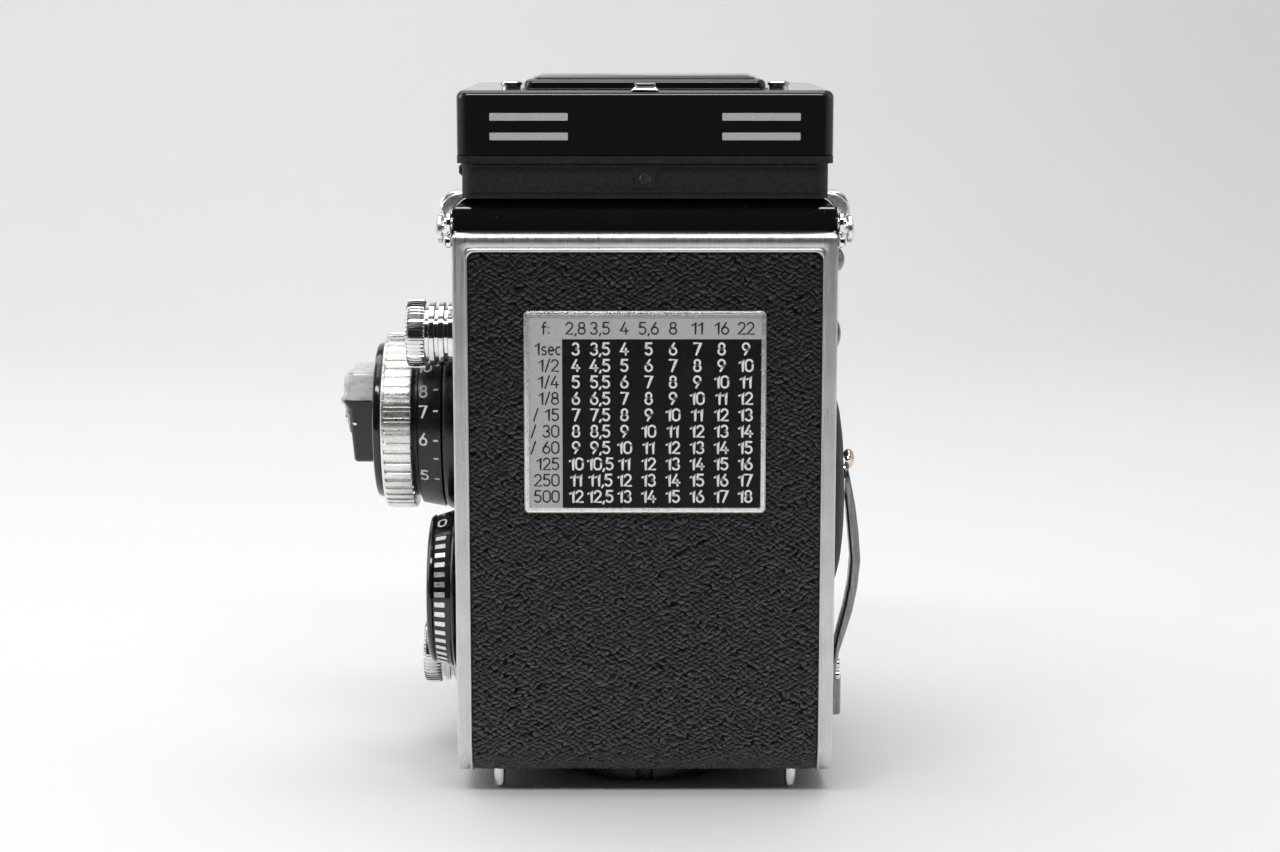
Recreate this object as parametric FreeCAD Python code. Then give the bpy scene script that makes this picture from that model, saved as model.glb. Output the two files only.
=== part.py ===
import FreeCAD, Part
import math
import os

# Twin lens reflex camera for 6x6 cm roll film, with its folding hood closed.
# Millimetres. Z is up, the lenses face -Y, the back door is at +Y, and the
# focusing knob is at +X with the film crank at -X. The origin is the mouth of
# the tripod socket, in the middle of the latch dial's face.

V = FreeCAD.Vector

# ---- driving dimensions -------------------------------------------------
HALF_W = 38.5            # half the width of the body over its leather
BACK_Y = 30.0            # outer face of the back door
FRONT_Y = -34.0          # front face of the body casting
GROUND_Z = -0.3          # underside of the feet
BOTTOM_Z = 3.7           # underside of the door's bottom panel
CORNER_R = 9.0           # radius where the door turns under the camera
DOOR_T = 2.4             # door thickness with its leather
LEATHER_T = 0.9
DOOR_TOP = 116.2         # top edge of the back door and of the casting
DOOR_FRONT = -31.0       # front end of the door's bottom panel
GAP = 0.3                # clearance between a moving part and its neighbour
FRAME_W = 3.1            # width of the bright strip beside the back leather
FRAME_TOP = 3.9          # height of the bright band above the back leather

CASTING_X = 36.4         # outer face of the casting's side walls
COVER_X = 37.7           # outer face of the side cover plates
CHAMBER_X = 32.0         # half width of the film chambers
LIGHT_X = 29.0           # half width of the two light boxes
POCKET_X = 33.2          # floor of the mechanism pockets in the side walls
FILM_Y = 22.0            # film plane
GATE = 28.0              # half the side of the 56 mm picture gate

TAKING_Z = 45.7          # axis of the taking lens
VIEWING_Z = 88.7         # axis of the viewing lens
FOCUS_TRAVEL = 7.0       # travel of the front standard

UPPER_SPOOL = (14.4, 94.1)     # y, z of the take-up spool
LOWER_SPOOL = (-18.5, 18.8)    # y, z of the supply spool
SPOOL_R = 12.3
CHAMBER_R = 13.0
SPOOL_HALF = 30.8

MIRROR_C = 102.0         # the mirror's face lies on z = y + this
MIRROR_T = 1.6

FOCUS = (-4.0, 73.3)     # y, z of the focusing knob
FOCUS_R = 18.7
DIAL = (12.5, 40.1)      # y, z of the reminder dial
DIAL_R = 16.4
CRANK = (0.0, 61.9)      # y, z of the crank
CRANK_TEETH = 62
SPOOL_TEETH = 28

COVER_TOP = 122.8        # top of the black top cover
FLANGE_Z = 129.8         # underside of the hood base's flange
FLANGE_TOP = 131.3
LID_TOP = 144.2
LID_X = 37.5
LID_BACK = 28.0
LID_T = 1.2
LID_AXIS = (-31.4, 143.6)      # y, z of the lid's hinge at its front edge
PANEL_X = 34.4           # hinge line of each side panel
PANEL_Z = 133.8
PANEL_H = 32.5
REAR_PANEL_Y = 26.0
REAR_PANEL_Z = 132.3
REAR_PANEL_H = 24.0
SHEET = 0.6              # thickness of the hood's sheet metal
MAGNIFIER_REACH = 24.0   # from the lid's hinge to the magnifier's
MAGNIFIER_DROP = 2.5
MAGNIFIER_R = 11.5
MAGNIFIER_OUT = 21.5     # from the magnifier's hinge to its lens centre

DOOR_AXIS = (28.5, 118.0)      # y, z of the door's hinge
TUBE_X = 26.0            # the light tube that the front standard slides over
TUBE_Z = (14.0, 109.0)
TUBE_END = -43.8
STANDARD_X = 29.0
STANDARD_Z = (11.5, 111.6)
STANDARD_BACK = -36.2
STANDARD_FRONT = -52.0
PLATE_T = 3.0
BARREL_R = 20.0
BARREL_END = -68.0
BAYONET_END = -76.0
TRIPOD_HOLE_R = 3.175
LATCH_R = 18.8
FOOT_R = 1.2

os.makedirs("parts", exist_ok=True)


# ---- helpers ------------------------------------------------------------
def box(x0, x1, y0, y1, z0, z1):
    return Part.makeBox(x1 - x0, y1 - y0, z1 - z0, V(x0, y0, z0))


def cyl_x(r, x0, x1, yz):
    return Part.makeCylinder(r, x1 - x0, V(x0, yz[0], yz[1]), V(1, 0, 0))


def cyl_y(r, y0, y1, x, z):
    return Part.makeCylinder(r, y1 - y0, V(x, y0, z), V(0, 1, 0))


def cyl_z(r, z0, z1, x, y):
    return Part.makeCylinder(r, z1 - z0, V(x, y, z0), V(0, 0, 1))


def prism_x(points, x0, x1):
    """A closed outline of (y, z) points, extruded from x0 to x1."""
    ring = [V(x0, y, z) for y, z in points]
    face = Part.Face(Part.makePolygon(ring + [ring[0]]))
    return face.extrude(V(x1 - x0, 0, 0))


def prism_z(points, z0, z1):
    """A closed outline of (x, y) points, extruded from z0 to z1."""
    ring = [V(x, y, z0) for x, y in points]
    face = Part.Face(Part.makePolygon(ring + [ring[0]]))
    return face.extrude(V(0, 0, z1 - z0))


def fuse(shapes):
    result = shapes[0].multiFuse(shapes[1:]) if len(shapes) > 1 else shapes[0]
    return result.removeSplitter()


def mirrored(shape):
    return shape.mirror(V(0, 0, 0), V(1, 0, 0))


def both_sides(shape):
    return Part.makeCompound([shape, mirrored(shape)])


def knurled(r, depth, x0, x1, yz, ribs):
    """A thumb wheel about the X axis, with rounded grooves cut along its rim."""
    wheel = cyl_x(r, x0, x1, yz)
    grooves = []
    for k in range(ribs):
        a = 2 * math.pi * k / ribs
        at = (yz[0] + r * math.cos(a), yz[1] + r * math.sin(a))
        grooves.append(cyl_x(depth, x0 - 1, x1 + 1, at))
    return wheel.cut(Part.makeCompound(grooves))


def dome_x(r, x_base, height, yz, side):
    """A shallow dome on a side face, standing out along side * X."""
    ball_r = (r * r + height * height) / (2 * height)
    centre = V(side * (x_base + height - ball_r), yz[0], yz[1])
    ball = Part.makeSphere(ball_r, centre)
    x0, x1 = sorted((side * x_base, side * (x_base + height + 1)))
    return ball.common(cyl_x(r, x0, x1, yz))


def lens(r, y_front, y_back, x, z, bulge):
    """A round glass whose front face bulges towards -Y."""
    ball_r = (r * r + bulge * bulge) / (2 * bulge)
    ball = Part.makeSphere(ball_r, V(x, y_front + ball_r, z))
    return ball.common(cyl_y(r, y_front - 1, y_back, x, z))


def save(name, shape):
    shape.exportStep("parts/" + name + ".step")


def door_layer(x0, x1, outer, inner, top):
    """One layer of the L-shaped door, between two depths under its outer face."""
    y_bend = BACK_Y - CORNER_R
    z_bend = BOTTOM_Z + CORNER_R
    quarter = math.sqrt(0.5)

    def arc(depth, start_low):
        r = CORNER_R - depth
        low = V(x0, y_bend, z_bend - r)
        mid = V(x0, y_bend + r * quarter, z_bend - r * quarter)
        high = V(x0, y_bend + r, z_bend)
        ends = (low, high) if start_low else (high, low)
        return Part.Arc(ends[0], mid, ends[1]).toShape()

    def line(a, b):
        return Part.LineSegment(V(x0, a[0], a[1]), V(x0, b[0], b[1])).toShape()

    wire = Part.Wire([
        line((BACK_Y - outer, top), (BACK_Y - outer, z_bend)),
        arc(outer, False),
        line((y_bend, BOTTOM_Z + outer), (DOOR_FRONT, BOTTOM_Z + outer)),
        line((DOOR_FRONT, BOTTOM_Z + outer), (DOOR_FRONT, BOTTOM_Z + inner)),
        line((DOOR_FRONT, BOTTOM_Z + inner), (y_bend, BOTTOM_Z + inner)),
        arc(inner, True),
        line((BACK_Y - inner, z_bend), (BACK_Y - inner, top)),
        line((BACK_Y - inner, top), (BACK_Y - outer, top)),
    ])
    return Part.Face(wire).extrude(V(x1 - x0, 0, 0))


def side_profile(x0, x1, inset):
    """The body's side outline, which follows the inside of the door."""
    depth = DOOR_T + GAP + inset
    y_back = BACK_Y - depth
    z_low = BOTTOM_Z + depth
    block = box(x0, x1, FRONT_Y + inset, y_back, z_low, DOOR_TOP - inset)
    r = CORNER_R - depth
    if r <= 0:
        return block
    corner = box(x0, x1, y_back - r, y_back + 1, z_low - 1, z_low + r)
    corner = corner.cut(cyl_x(r, x0, x1, (y_back - r, z_low + r)))
    return block.cut(corner)


# ---- gears --------------------------------------------------------------
GEAR_DISTANCE = math.hypot(UPPER_SPOOL[0] - CRANK[0], UPPER_SPOOL[1] - CRANK[1])
GEAR_MODULE = 2 * GEAR_DISTANCE / (CRANK_TEETH + SPOOL_TEETH)


def gear(teeth, x0, x1, yz, first_angle):
    """A spur gear about X with slim trapezoid teeth, which leaves running clearance."""
    pitch_r = GEAR_MODULE * teeth / 2
    root_r = pitch_r - 0.95 * GEAR_MODULE
    tip_r = pitch_r + 0.55 * GEAR_MODULE
    step = 2 * math.pi / teeth
    points = []
    for k in range(teeth):
        a = first_angle + k * step
        for r, part in ((root_r, -0.27), (tip_r, -0.12), (tip_r, 0.12), (root_r, 0.27)):
            turn = a + part * step
            points.append((yz[0] + r * math.cos(turn), yz[1] + r * math.sin(turn)))
    return prism_x(points, x0, x1)


MESH_ANGLE = math.atan2(UPPER_SPOOL[1] - CRANK[1], UPPER_SPOOL[0] - CRANK[0])


# ---- body ---------------------------------------------------------------
def body_casting():
    """The die-cast body: two light boxes, two film chambers and the front tube."""
    block = side_profile(-CASTING_X, CASTING_X, 0)
    lip = box(-CASTING_X, CASTING_X, FRONT_Y, DOOR_FRONT - GAP, BOTTOM_Z, 8)
    tube = box(-TUBE_X, TUBE_X, TUBE_END, FRONT_Y, TUBE_Z[0], TUBE_Z[1])
    wall = 1.5
    bore = box(-TUBE_X + wall, TUBE_X - wall, TUBE_END - 1, FRONT_Y,
               TUBE_Z[0] + wall, TUBE_Z[1] - wall)
    solid = fuse([block, lip, tube.cut(bore)])

    back = FRONT_Y + 3
    mirror_back = MIRROR_C - MIRROR_T * math.sqrt(2)
    mirror_box = prism_x([(back, DOOR_TOP + 1), (back, back + mirror_back),
                          (DOOR_TOP + 1 - mirror_back, DOOR_TOP + 1)], -LIGHT_X, LIGHT_X)
    gate_low = TAKING_Z - GATE
    gate_high = TAKING_Z + GATE
    light_box = prism_x([(back, 33.5), (-12, 33.5), (-4, 25), (19.5, gate_low), (19.5, gate_high),
                         (back, 66)], -LIGHT_X, LIGHT_X)
    gate = box(-GATE, GATE, 19, FILM_Y + 1, gate_low, gate_high)
    film_back = box(-CHAMBER_X, CHAMBER_X, FILM_Y, BACK_Y, 0, UPPER_SPOOL[1] + CHAMBER_R)
    upper = cyl_x(CHAMBER_R, -CHAMBER_X, CHAMBER_X, UPPER_SPOOL)
    upper_mouth = box(-CHAMBER_X, CHAMBER_X, UPPER_SPOOL[0], BACK_Y,
                      UPPER_SPOOL[1] - CHAMBER_R, UPPER_SPOOL[1] + CHAMBER_R)
    lower = cyl_x(CHAMBER_R, -CHAMBER_X, CHAMBER_X, LOWER_SPOOL)
    lower_mouth = box(-CHAMBER_X, CHAMBER_X, LOWER_SPOOL[0] - CHAMBER_R, LOWER_SPOOL[0] + CHAMBER_R,
                      0, LOWER_SPOOL[1])
    film_floor = box(-CHAMBER_X, CHAMBER_X, LOWER_SPOOL[0], BACK_Y, 0, 13.5)
    cuts = [mirror_box, light_box, gate, film_back, upper, upper_mouth, lower, lower_mouth, film_floor]
    cuts.append(cyl_y(12, FRONT_Y - 1, back + 1, 0, TAKING_Z))
    cuts.append(cyl_y(16, FRONT_Y - 1, back + 1, 0, VIEWING_Z))
    for at in ROLLERS:
        cuts.append(cyl_x(ROLLER_R + 0.4, -CHAMBER_X, CHAMBER_X, at))
        cuts.append(cyl_x(ROLLER_AXLE_R + 0.05, -CASTING_X + 2, CASTING_X - 2, at))
    for at in (UPPER_SPOOL, LOWER_SPOOL):
        cuts.append(cyl_x(KNOB_SHAFT_R + 0.05, CHAMBER_X - 1, CASTING_X + 1, at))
    cuts.append(cyl_x(KNOB_SHAFT_R, -CASTING_X - 1, -CHAMBER_X + 1, LOWER_SPOOL))
    cuts.append(cyl_x(KNOB_SHAFT_R + 0.05, -CASTING_X - 1, -CHAMBER_X + 1, UPPER_SPOOL))
    cuts.append(cyl_x(15, POCKET_X, CASTING_X + 1, FOCUS))
    pocket = -CASTING_X - 1
    cuts.append(cyl_x(GEAR_MODULE * CRANK_TEETH / 2 + 1.2, pocket, -POCKET_X, CRANK))
    cuts.append(cyl_x(GEAR_MODULE * SPOOL_TEETH / 2 + 1.2, pocket, -POCKET_X, UPPER_SPOOL))
    return solid.cut(Part.makeCompound(cuts)).removeSplitter()


ROLLER_R = 2.5
ROLLER_AXLE_R = 1.2
ROLLERS = ((20.2, 13.4), (20.2, 78.0))
KNOB_SHAFT_R = 2.5
CRANK_SHAFT_R = 3.0
FOCUS_SHAFT_R = 4.0
SPINDLE_R = 2.5


def side_holes(x0, x1, extra):
    """What goes through each side of the body, as one tool for each side."""
    plus = [cyl_x(FOCUS_SHAFT_R + extra, x0, x1, FOCUS), cyl_x(2 + extra, x0, x1, DIAL)]
    for at in (UPPER_SPOOL, LOWER_SPOOL):
        plus.append(cyl_x(KNOB_SHAFT_R + extra, x0, x1, at))
    minus = [cyl_x(CRANK_SHAFT_R + extra, -x1, -x0, CRANK)]
    return Part.makeCompound(plus), Part.makeCompound(minus)


def side_covers():
    plate = side_profile(CASTING_X, COVER_X, 0)
    plus, minus = side_holes(CASTING_X - 1, COVER_X + 1, 0.05)
    return Part.makeCompound([plate.cut(plus), mirrored(plate).cut(minus)])


def side_leathers():
    sheet = side_profile(COVER_X, HALF_W, 1.0)
    plus, minus = side_holes(COVER_X - 1, HALF_W + 1, 0.4)
    return Part.makeCompound([sheet.cut(plus), mirrored(sheet).cut(minus)])


def front_leather():
    """Two leather strips on the front face, one on each side of the standard."""
    strip = box(STANDARD_X + 1, COVER_X - 1, FRONT_Y - 0.8, FRONT_Y, BOTTOM_Z + 1, DOOR_TOP - 1)
    return both_sides(strip)


SCREEN_Y = (-31.0, 17.0)
SCREEN_Z = (118.0, 120.0)
SCREEN_X = 29.6
COVER_BACK = 25.8
HOOD_X = 36.6


def top_cover():
    """The rounded black top of the body, open for the focusing screen."""
    block = box(-HALF_W, HALF_W, FRONT_Y, COVER_BACK, DOOR_TOP, COVER_TOP)
    long_edges = [e for e in block.Edges if abs(e.CenterOfMass.z - COVER_TOP) < 0.01
                  and (abs(e.CenterOfMass.x) > 30 or e.CenterOfMass.y > 20)]
    block = block.makeFillet(4.0, long_edges)
    ledge = 1.6
    play = 0.1
    mouth = box(-SCREEN_X - play, SCREEN_X + play, SCREEN_Y[0] - play, SCREEN_Y[1] + play,
                SCREEN_Z[0], COVER_TOP + 1)
    light = box(-SCREEN_X + ledge, SCREEN_X - ledge, SCREEN_Y[0] + ledge, SCREEN_Y[1] - ledge,
                DOOR_TOP - 1, COVER_TOP)
    return block.cut(fuse([mouth, light]))


def focusing_screen():
    return box(-SCREEN_X, SCREEN_X, SCREEN_Y[0], SCREEN_Y[1], SCREEN_Z[0], SCREEN_Z[1])


def viewing_mirror():
    start = -29.5
    length = 60.0
    back_c = MIRROR_C - MIRROR_T * math.sqrt(2)
    run = length * math.sqrt(0.5)
    rise = MIRROR_T * math.sqrt(0.5)
    low = (start, start + back_c)
    high = (start + run, start + run + back_c)
    outline = [low, high, (high[0] - rise, high[1] + rise), (low[0] - rise, low[1] + rise)]
    return prism_x(outline, -LIGHT_X + 0.5, LIGHT_X - 0.5)


def hood_base():
    """The wrinkle-painted frame of the hood, with its flange and fixed front wall."""
    y0 = FRONT_Y + 1
    y1 = BACK_Y - 3
    skirt = box(-HOOD_X, HOOD_X, y0, y1, COVER_TOP, FLANGE_Z)
    corners = [e for e in skirt.Edges if abs(e.Length - (FLANGE_Z - COVER_TOP)) < 0.01]
    skirt = skirt.makeFillet(3.0, corners)
    flange = box(-LID_X, LID_X, y0, LID_BACK + 0.2, FLANGE_Z, FLANGE_TOP)
    corners = [e for e in flange.Edges if abs(e.Length - (FLANGE_TOP - FLANGE_Z)) < 0.01]
    flange = flange.makeFillet(3.0, corners)
    wall_half = LID_X - LID_T - GAP
    wall_y = (LID_AXIS[0] - 0.6, LID_AXIS[0] + 0.6)
    front = box(-wall_half, wall_half, wall_y[0], wall_y[1], FLANGE_TOP, LID_AXIS[1] - 1.0)
    opening = box(-SCREEN_X, SCREEN_X, SCREEN_Y[0] + 2, 24, COVER_TOP - 1, FLANGE_TOP + 1)
    return fuse([skirt, flange, front]).cut(opening)


BROW_X = 27.5            # half width of the brow over the viewing lens
BROW_Y = -50.0           # its front face
BROW_Z = (STANDARD_Z[1] + GAP + 0.2, COVER_TOP - 1)
CELL_X = 24.0            # half width of the recess for the meter's cell
CELL_Y = -48.6           # back of the recess
CELL_PITCH = 3.6         # spacing of the lens bumps


def meter_cell_housing():
    """The fixed brow over the viewing lens, which holds the light meter's cell."""
    block = box(-BROW_X, BROW_X, BROW_Y, FRONT_Y, BROW_Z[0], BROW_Z[1])
    edges = [e for e in block.Edges if e.CenterOfMass.y < BROW_Y + 1 and e.Length < 20]
    block = block.makeFillet(2.5, edges)
    recess = box(-CELL_X, CELL_X, BROW_Y - 1, CELL_Y, BROW_Z[0] + 1.2, BROW_Z[1] - 1.2)
    return block.cut(recess)


def meter_cell_window():
    """The ribbed window of the meter's cell, a grid of small lens bumps."""
    z0 = BROW_Z[0] + 1.3
    z1 = BROW_Z[1] - 1.3
    face = BROW_Y + 0.2
    bumps = [box(-CELL_X + 0.1, CELL_X - 0.1, face, CELL_Y, z0, z1)]
    rows = int((z1 - z0) // CELL_PITCH)
    half = 1.7
    for j in range(rows):
        for i in range(-6, 7):
            x = i * CELL_PITCH
            z = z0 + (z1 - z0) / rows * (j + 0.5)
            ball = Part.makeSphere(2.4, V(x, BROW_Y + 1.8, z))
            cell = box(x - half, x + half, BROW_Y - 1, face + 0.1, z - half, z + half)
            bumps.append(ball.common(cell))
    return fuse(bumps)


BRACKET_X = 40.2
BRACKET_T = 1.2
EAR_R = 2.3
PIN_R = 1.2
BRACKET_FOOT = (11.5, 23.0, 112.6, 116.0)      # y and z limits of the foot
BRACKET_STUD = (18.0, 109.2)   # y, z of the stud under the bracket
STRAP_BOSS = (21.0, 116.8)     # y, z of the strap's fixing


def hinge_brackets():
    """Chrome brackets that hold the strap and the door's hinge pin, and the stud under each."""
    y0, y1, z0, z1 = BRACKET_FOOT
    outer = BRACKET_X + BRACKET_T
    foot = box(HALF_W, BRACKET_X, y0, y1, z0, z1)
    outline = [(y0, z0), (y1, z0), (26, 113.6), (30.6, 116.5), (30.6, 119.6),
               (27, 120.8), (20, 121.6), (14, 119.5), (y0, z1)]
    web = prism_x(outline, BRACKET_X, outer)
    pin = cyl_x(PIN_R, HALF_W + 0.05, BRACKET_X, DOOR_AXIS)
    strap_boss = cyl_x(3.2, outer, outer + 0.9, STRAP_BOSS)
    bracket = fuse([foot, web, pin, strap_boss])
    neck = 1.4
    stud = cyl_x(1.6, HALF_W, HALF_W + neck, BRACKET_STUD)
    head = dome_x(2.6, HALF_W + neck, 1.4, BRACKET_STUD, 1)
    stud = fuse([stud, head])
    return Part.makeCompound([bracket, mirrored(bracket), stud, mirrored(stud)])


# ---- back door ----------------------------------------------------------
INNER_X = HALF_W - FRAME_W
BUSH_R = 8.7


def door_panel():
    panel = door_layer(-INNER_X, INNER_X, LEATHER_T, DOOR_T, DOOR_TOP - FRAME_TOP)
    return panel.cut(cyl_z(BUSH_R, 0, 10, 0, 0))


def door_leather():
    sheet = door_layer(-INNER_X, INNER_X, 0, LEATHER_T, DOOR_TOP - FRAME_TOP)
    return sheet.cut(cyl_z(BUSH_R, 0, 10, 0, 0))


def door_frame():
    """The bright rim of the door, with an ear on each side for the hinge pin."""
    strip = door_layer(INNER_X, HALF_W, 0, DOOR_T, DOOR_TOP)
    band = box(-INNER_X, INNER_X, BACK_Y - DOOR_T, BACK_Y, DOOR_TOP - FRAME_TOP, DOOR_TOP)
    arm = box(HALF_W, BRACKET_X - 0.2, BACK_Y - DOOR_T + 0.1, BACK_Y - 0.1, 112.7, DOOR_TOP + 1.2)
    knuckle = cyl_x(EAR_R, HALF_W + 0.3, BRACKET_X - 0.2, DOOR_AXIS)
    hole = cyl_x(PIN_R + 0.05, HALF_W - 1, BRACKET_X, DOOR_AXIS)
    side = fuse([strip, arm, knuckle]).cut(hole)
    return fuse([side, mirrored(side), band])


PLATE_X = 24.2
PLATE_Z = (59.8, 100.7)


def exposure_plate():
    """The framed metal table on the back, with a raised rim."""
    rim = box(-PLATE_X, PLATE_X, BACK_Y, BACK_Y + 0.9, PLATE_Z[0], PLATE_Z[1])
    edge = 1.1
    well = box(-PLATE_X + edge, PLATE_X - edge, BACK_Y + 0.5, BACK_Y + 2,
               PLATE_Z[0] + edge, PLATE_Z[1] - edge)
    return rim.cut(well)


def pressure_plate():
    """The film's pressure plate, on four leaf springs from the door."""
    z_mid = TAKING_Z
    parts = [box(-29, 29, FILM_Y + 0.9, FILM_Y + 2.2, z_mid - 28.5, z_mid + 28.5)]
    for x in (-16, 16):
        for z in (z_mid - 15, z_mid + 15):
            parts.append(box(x - 3, x + 3, FILM_Y + 2.2, BACK_Y - DOOR_T, z - 1, z + 1))
    return fuse(parts)


def tripod_bush():
    bush = cyl_z(BUSH_R, 0, BOTTOM_Z + DOOR_T, 0, 0)
    return bush.cut(cyl_z(TRIPOD_HOLE_R, -1, BOTTOM_Z + 1.6, 0, 0))


def latch_dial():
    """The ring that locks the door, turned about the tripod bush."""
    ring = cyl_z(LATCH_R, 0.3, BOTTOM_Z - 0.2, 0, 0)
    ring = ring.cut(cyl_z(BUSH_R + 0.08, 0, BOTTOM_Z, 0, 0))
    groove = cyl_z(16.4, 0, 0.8, 0, 0).cut(cyl_z(15.4, 0, 0.8, 0, 0))
    notches = []
    for k in range(6):
        a = math.radians(60 * k + 30)
        notches.append(cyl_z(2.4, 0, BOTTOM_Z, 20.3 * math.cos(a), 20.3 * math.sin(a)))
    return ring.cut(groove).cut(Part.makeCompound(notches))


FOOT_X = 30.3
FOOT_Y = (20.8, -26.0)


def door_feet():
    feet = []
    for x in (-FOOT_X, FOOT_X):
        for y in FOOT_Y:
            foot = cyl_z(FOOT_R, GROUND_Z, BOTTOM_Z, x, y)
            rim = [e for e in foot.Edges if abs(e.CenterOfMass.z - GROUND_Z) < 0.01]
            feet.append(foot.makeFillet(0.5, rim))
    return Part.makeCompound(feet)


# ---- hood ---------------------------------------------------------------
def hood_lid():
    """The deep-drawn lid: top plate, two side walls and the rear wall."""
    y0 = LID_AXIS[0] - 0.6
    z0 = FLANGE_TOP + 0.2
    block = box(-LID_X, LID_X, y0, LID_BACK, z0, LID_TOP)
    upright = [e for e in block.Edges if abs(e.Length - (LID_TOP - z0)) < 0.01 and e.CenterOfMass.y > 0]
    block = block.makeFillet(3.0, upright)
    top_edges = [e for e in block.Edges if abs(e.CenterOfMass.z - LID_TOP) < 0.01
                 and (abs(e.CenterOfMass.x) > LID_X - 2 or e.CenterOfMass.y > LID_BACK - 2)]
    block = block.makeFillet(1.5, top_edges)
    hollow = box(-LID_X + LID_T, LID_X - LID_T, y0 - 1, LID_BACK - LID_T, z0 - 1, LID_TOP - LID_T)
    shell = block.cut(hollow)
    front_gap = cyl_x(0.62, -LID_X, LID_X, LID_AXIS)
    nose = box(-LID_X, LID_X, y0, LID_AXIS[0], LID_TOP - LID_T, LID_TOP).cut(front_gap)
    return shell.cut(nose)


def finder_flap():
    """The sports finder's raised flap, with its thinner bright layer on top."""
    plate = box(-24.3, 24.3, -24, 19, LID_TOP, LID_TOP + 2.0)
    rim = [e for e in plate.Edges if abs(e.CenterOfMass.z - (LID_TOP + 2.0)) < 0.01]
    plate = plate.makeFillet(0.7, rim)
    trim = box(-22.4, 22.4, -22, 17, LID_TOP + 2.0, LID_TOP + 2.5)
    return Part.makeCompound([plate, trim])


def lid_studs():
    """Two chrome studs and the lifting tab on the lid."""
    studs = []
    for x in (-27.3, 27.3):
        stud = cyl_z(1.9, LID_TOP, LID_TOP + 2.0, x, 10)
        studs.append(stud.makeFillet(0.7, [e for e in stud.Edges if e.CenterOfMass.z > LID_TOP + 1.9]))
    tab = prism_z([(-2.5, 27.6), (-1.5, 22.5), (1.5, 22.5), (2.5, 27.6)], LID_TOP, LID_TOP + 1.3)
    return Part.makeCompound(studs + [tab])


def side_panel():
    """One of the hood's side panels, lying flat: its free edge is near the middle."""
    y_axis = LID_AXIS[0]
    outline = [(PANEL_X, 25.0), (PANEL_X - PANEL_H, 25.0), (PANEL_X - PANEL_H, y_axis + 17.5),
               (PANEL_X - 24.0, y_axis + 10.5), (PANEL_X - 12.0, y_axis + 2.6), (PANEL_X, y_axis + 2.6)]
    sheet = prism_z(outline, PANEL_Z - SHEET / 2, PANEL_Z + SHEET / 2)
    hinge = Part.makeCylinder(0.6, 50, V(PANEL_X, -26, PANEL_Z), V(0, 1, 0))
    return fuse([sheet, hinge])


def rear_panel():
    """The hood's rear panel, which folds flat under the side panels."""
    under = PANEL_Z - REAR_PANEL_Z
    steps = 12
    right = []
    for k in range(steps + 1):
        r = REAR_PANEL_H * k / steps
        pull = max(r ** (2 / 3) - under ** (2 / 3), 0) ** 1.5
        half = min(PANEL_X - 1.9, PANEL_X - pull - 1.6)
        right.append((half, REAR_PANEL_Y - r))
    left = [(-x, y) for x, y in reversed(right)]
    sheet = prism_z(right + left, REAR_PANEL_Z - SHEET / 2, REAR_PANEL_Z + SHEET / 2)
    hinge = Part.makeCylinder(0.6, 60, V(-30, REAR_PANEL_Y, REAR_PANEL_Z), V(1, 0, 0))
    return fuse([sheet, hinge])


def magnifier():
    """The swing-out magnifier: a frame on an arm, and its lens."""
    y0 = LID_AXIS[0] + MAGNIFIER_REACH
    z0 = LID_AXIS[1] - MAGNIFIER_DROP
    y_lens = y0 + MAGNIFIER_OUT
    ring = cyl_z(MAGNIFIER_R, z0 - 1.1, z0 + 1.1, 0, y_lens)
    arm = box(-8, 8, y0, y_lens, z0 - 0.6, z0 + 0.6)
    hinge = Part.makeCylinder(0.9, 20, V(-10, y0, z0), V(1, 0, 0))
    glass_r = MAGNIFIER_R - 1.5
    frame = fuse([ring, arm, hinge]).cut(cyl_z(glass_r, z0 - 3, z0 + 3, 0, y_lens))
    glass = cyl_z(glass_r, z0 - 0.9, z0 + 0.9, 0, y_lens)
    return frame, glass


# ---- front standard -----------------------------------------------------
RELEASE = (-22.0, 21.7)        # x, z of the shutter release
FLASH = (22.0, 21.7)           # x, z of the flash socket
WHEEL_X = 21.5
WHEEL_Z = (TAKING_Z + VIEWING_Z) / 2
TIMER = (23.7, 57.4)           # x, z of the self-timer lever's pivot
BARREL_BORE = 14.0
REAR_R = 12.9
REAR_BORE = 11.1


def front_standard():
    """The box that carries both lenses and slides over the body's front tube."""
    block = box(-STANDARD_X, STANDARD_X, STANDARD_FRONT, STANDARD_BACK, STANDARD_Z[0], STANDARD_Z[1])
    corners = [e for e in block.Edges if abs(e.Length - (STANDARD_BACK - STANDARD_FRONT)) < 0.01]
    block = block.makeFillet(2.0, corners)
    play = 0.4
    inside = box(-TUBE_X - play, TUBE_X + play, STANDARD_FRONT + PLATE_T, STANDARD_BACK + 1,
                 TUBE_Z[0] - play, TUBE_Z[1] + play)
    holes = [cyl_y(REAR_R, STANDARD_FRONT - 1, -40, 0, z) for z in (TAKING_Z, VIEWING_Z)]
    holes.append(cyl_y(3.5, STANDARD_FRONT - 1, -40, RELEASE[0], RELEASE[1]))
    holes.append(cyl_y(1.0, STANDARD_FRONT - 1, -40, TIMER[0], TIMER[1]))
    return block.cut(inside).cut(Part.makeCompound(holes))


def lens_barrel(z):
    """A lens barrel: the wide front part and the narrower rear part behind the plate."""
    front = cyl_y(BARREL_R, BARREL_END, STANDARD_FRONT, 0, z)
    rear = cyl_y(REAR_R, STANDARD_FRONT, -39, 0, z)
    body = fuse([front, rear])
    body = body.cut(cyl_y(BARREL_BORE, BARREL_END - 1, STANDARD_FRONT - 1.5, 0, z))
    return body.cut(cyl_y(REAR_BORE, STANDARD_FRONT - 2, -38, 0, z))


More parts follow.
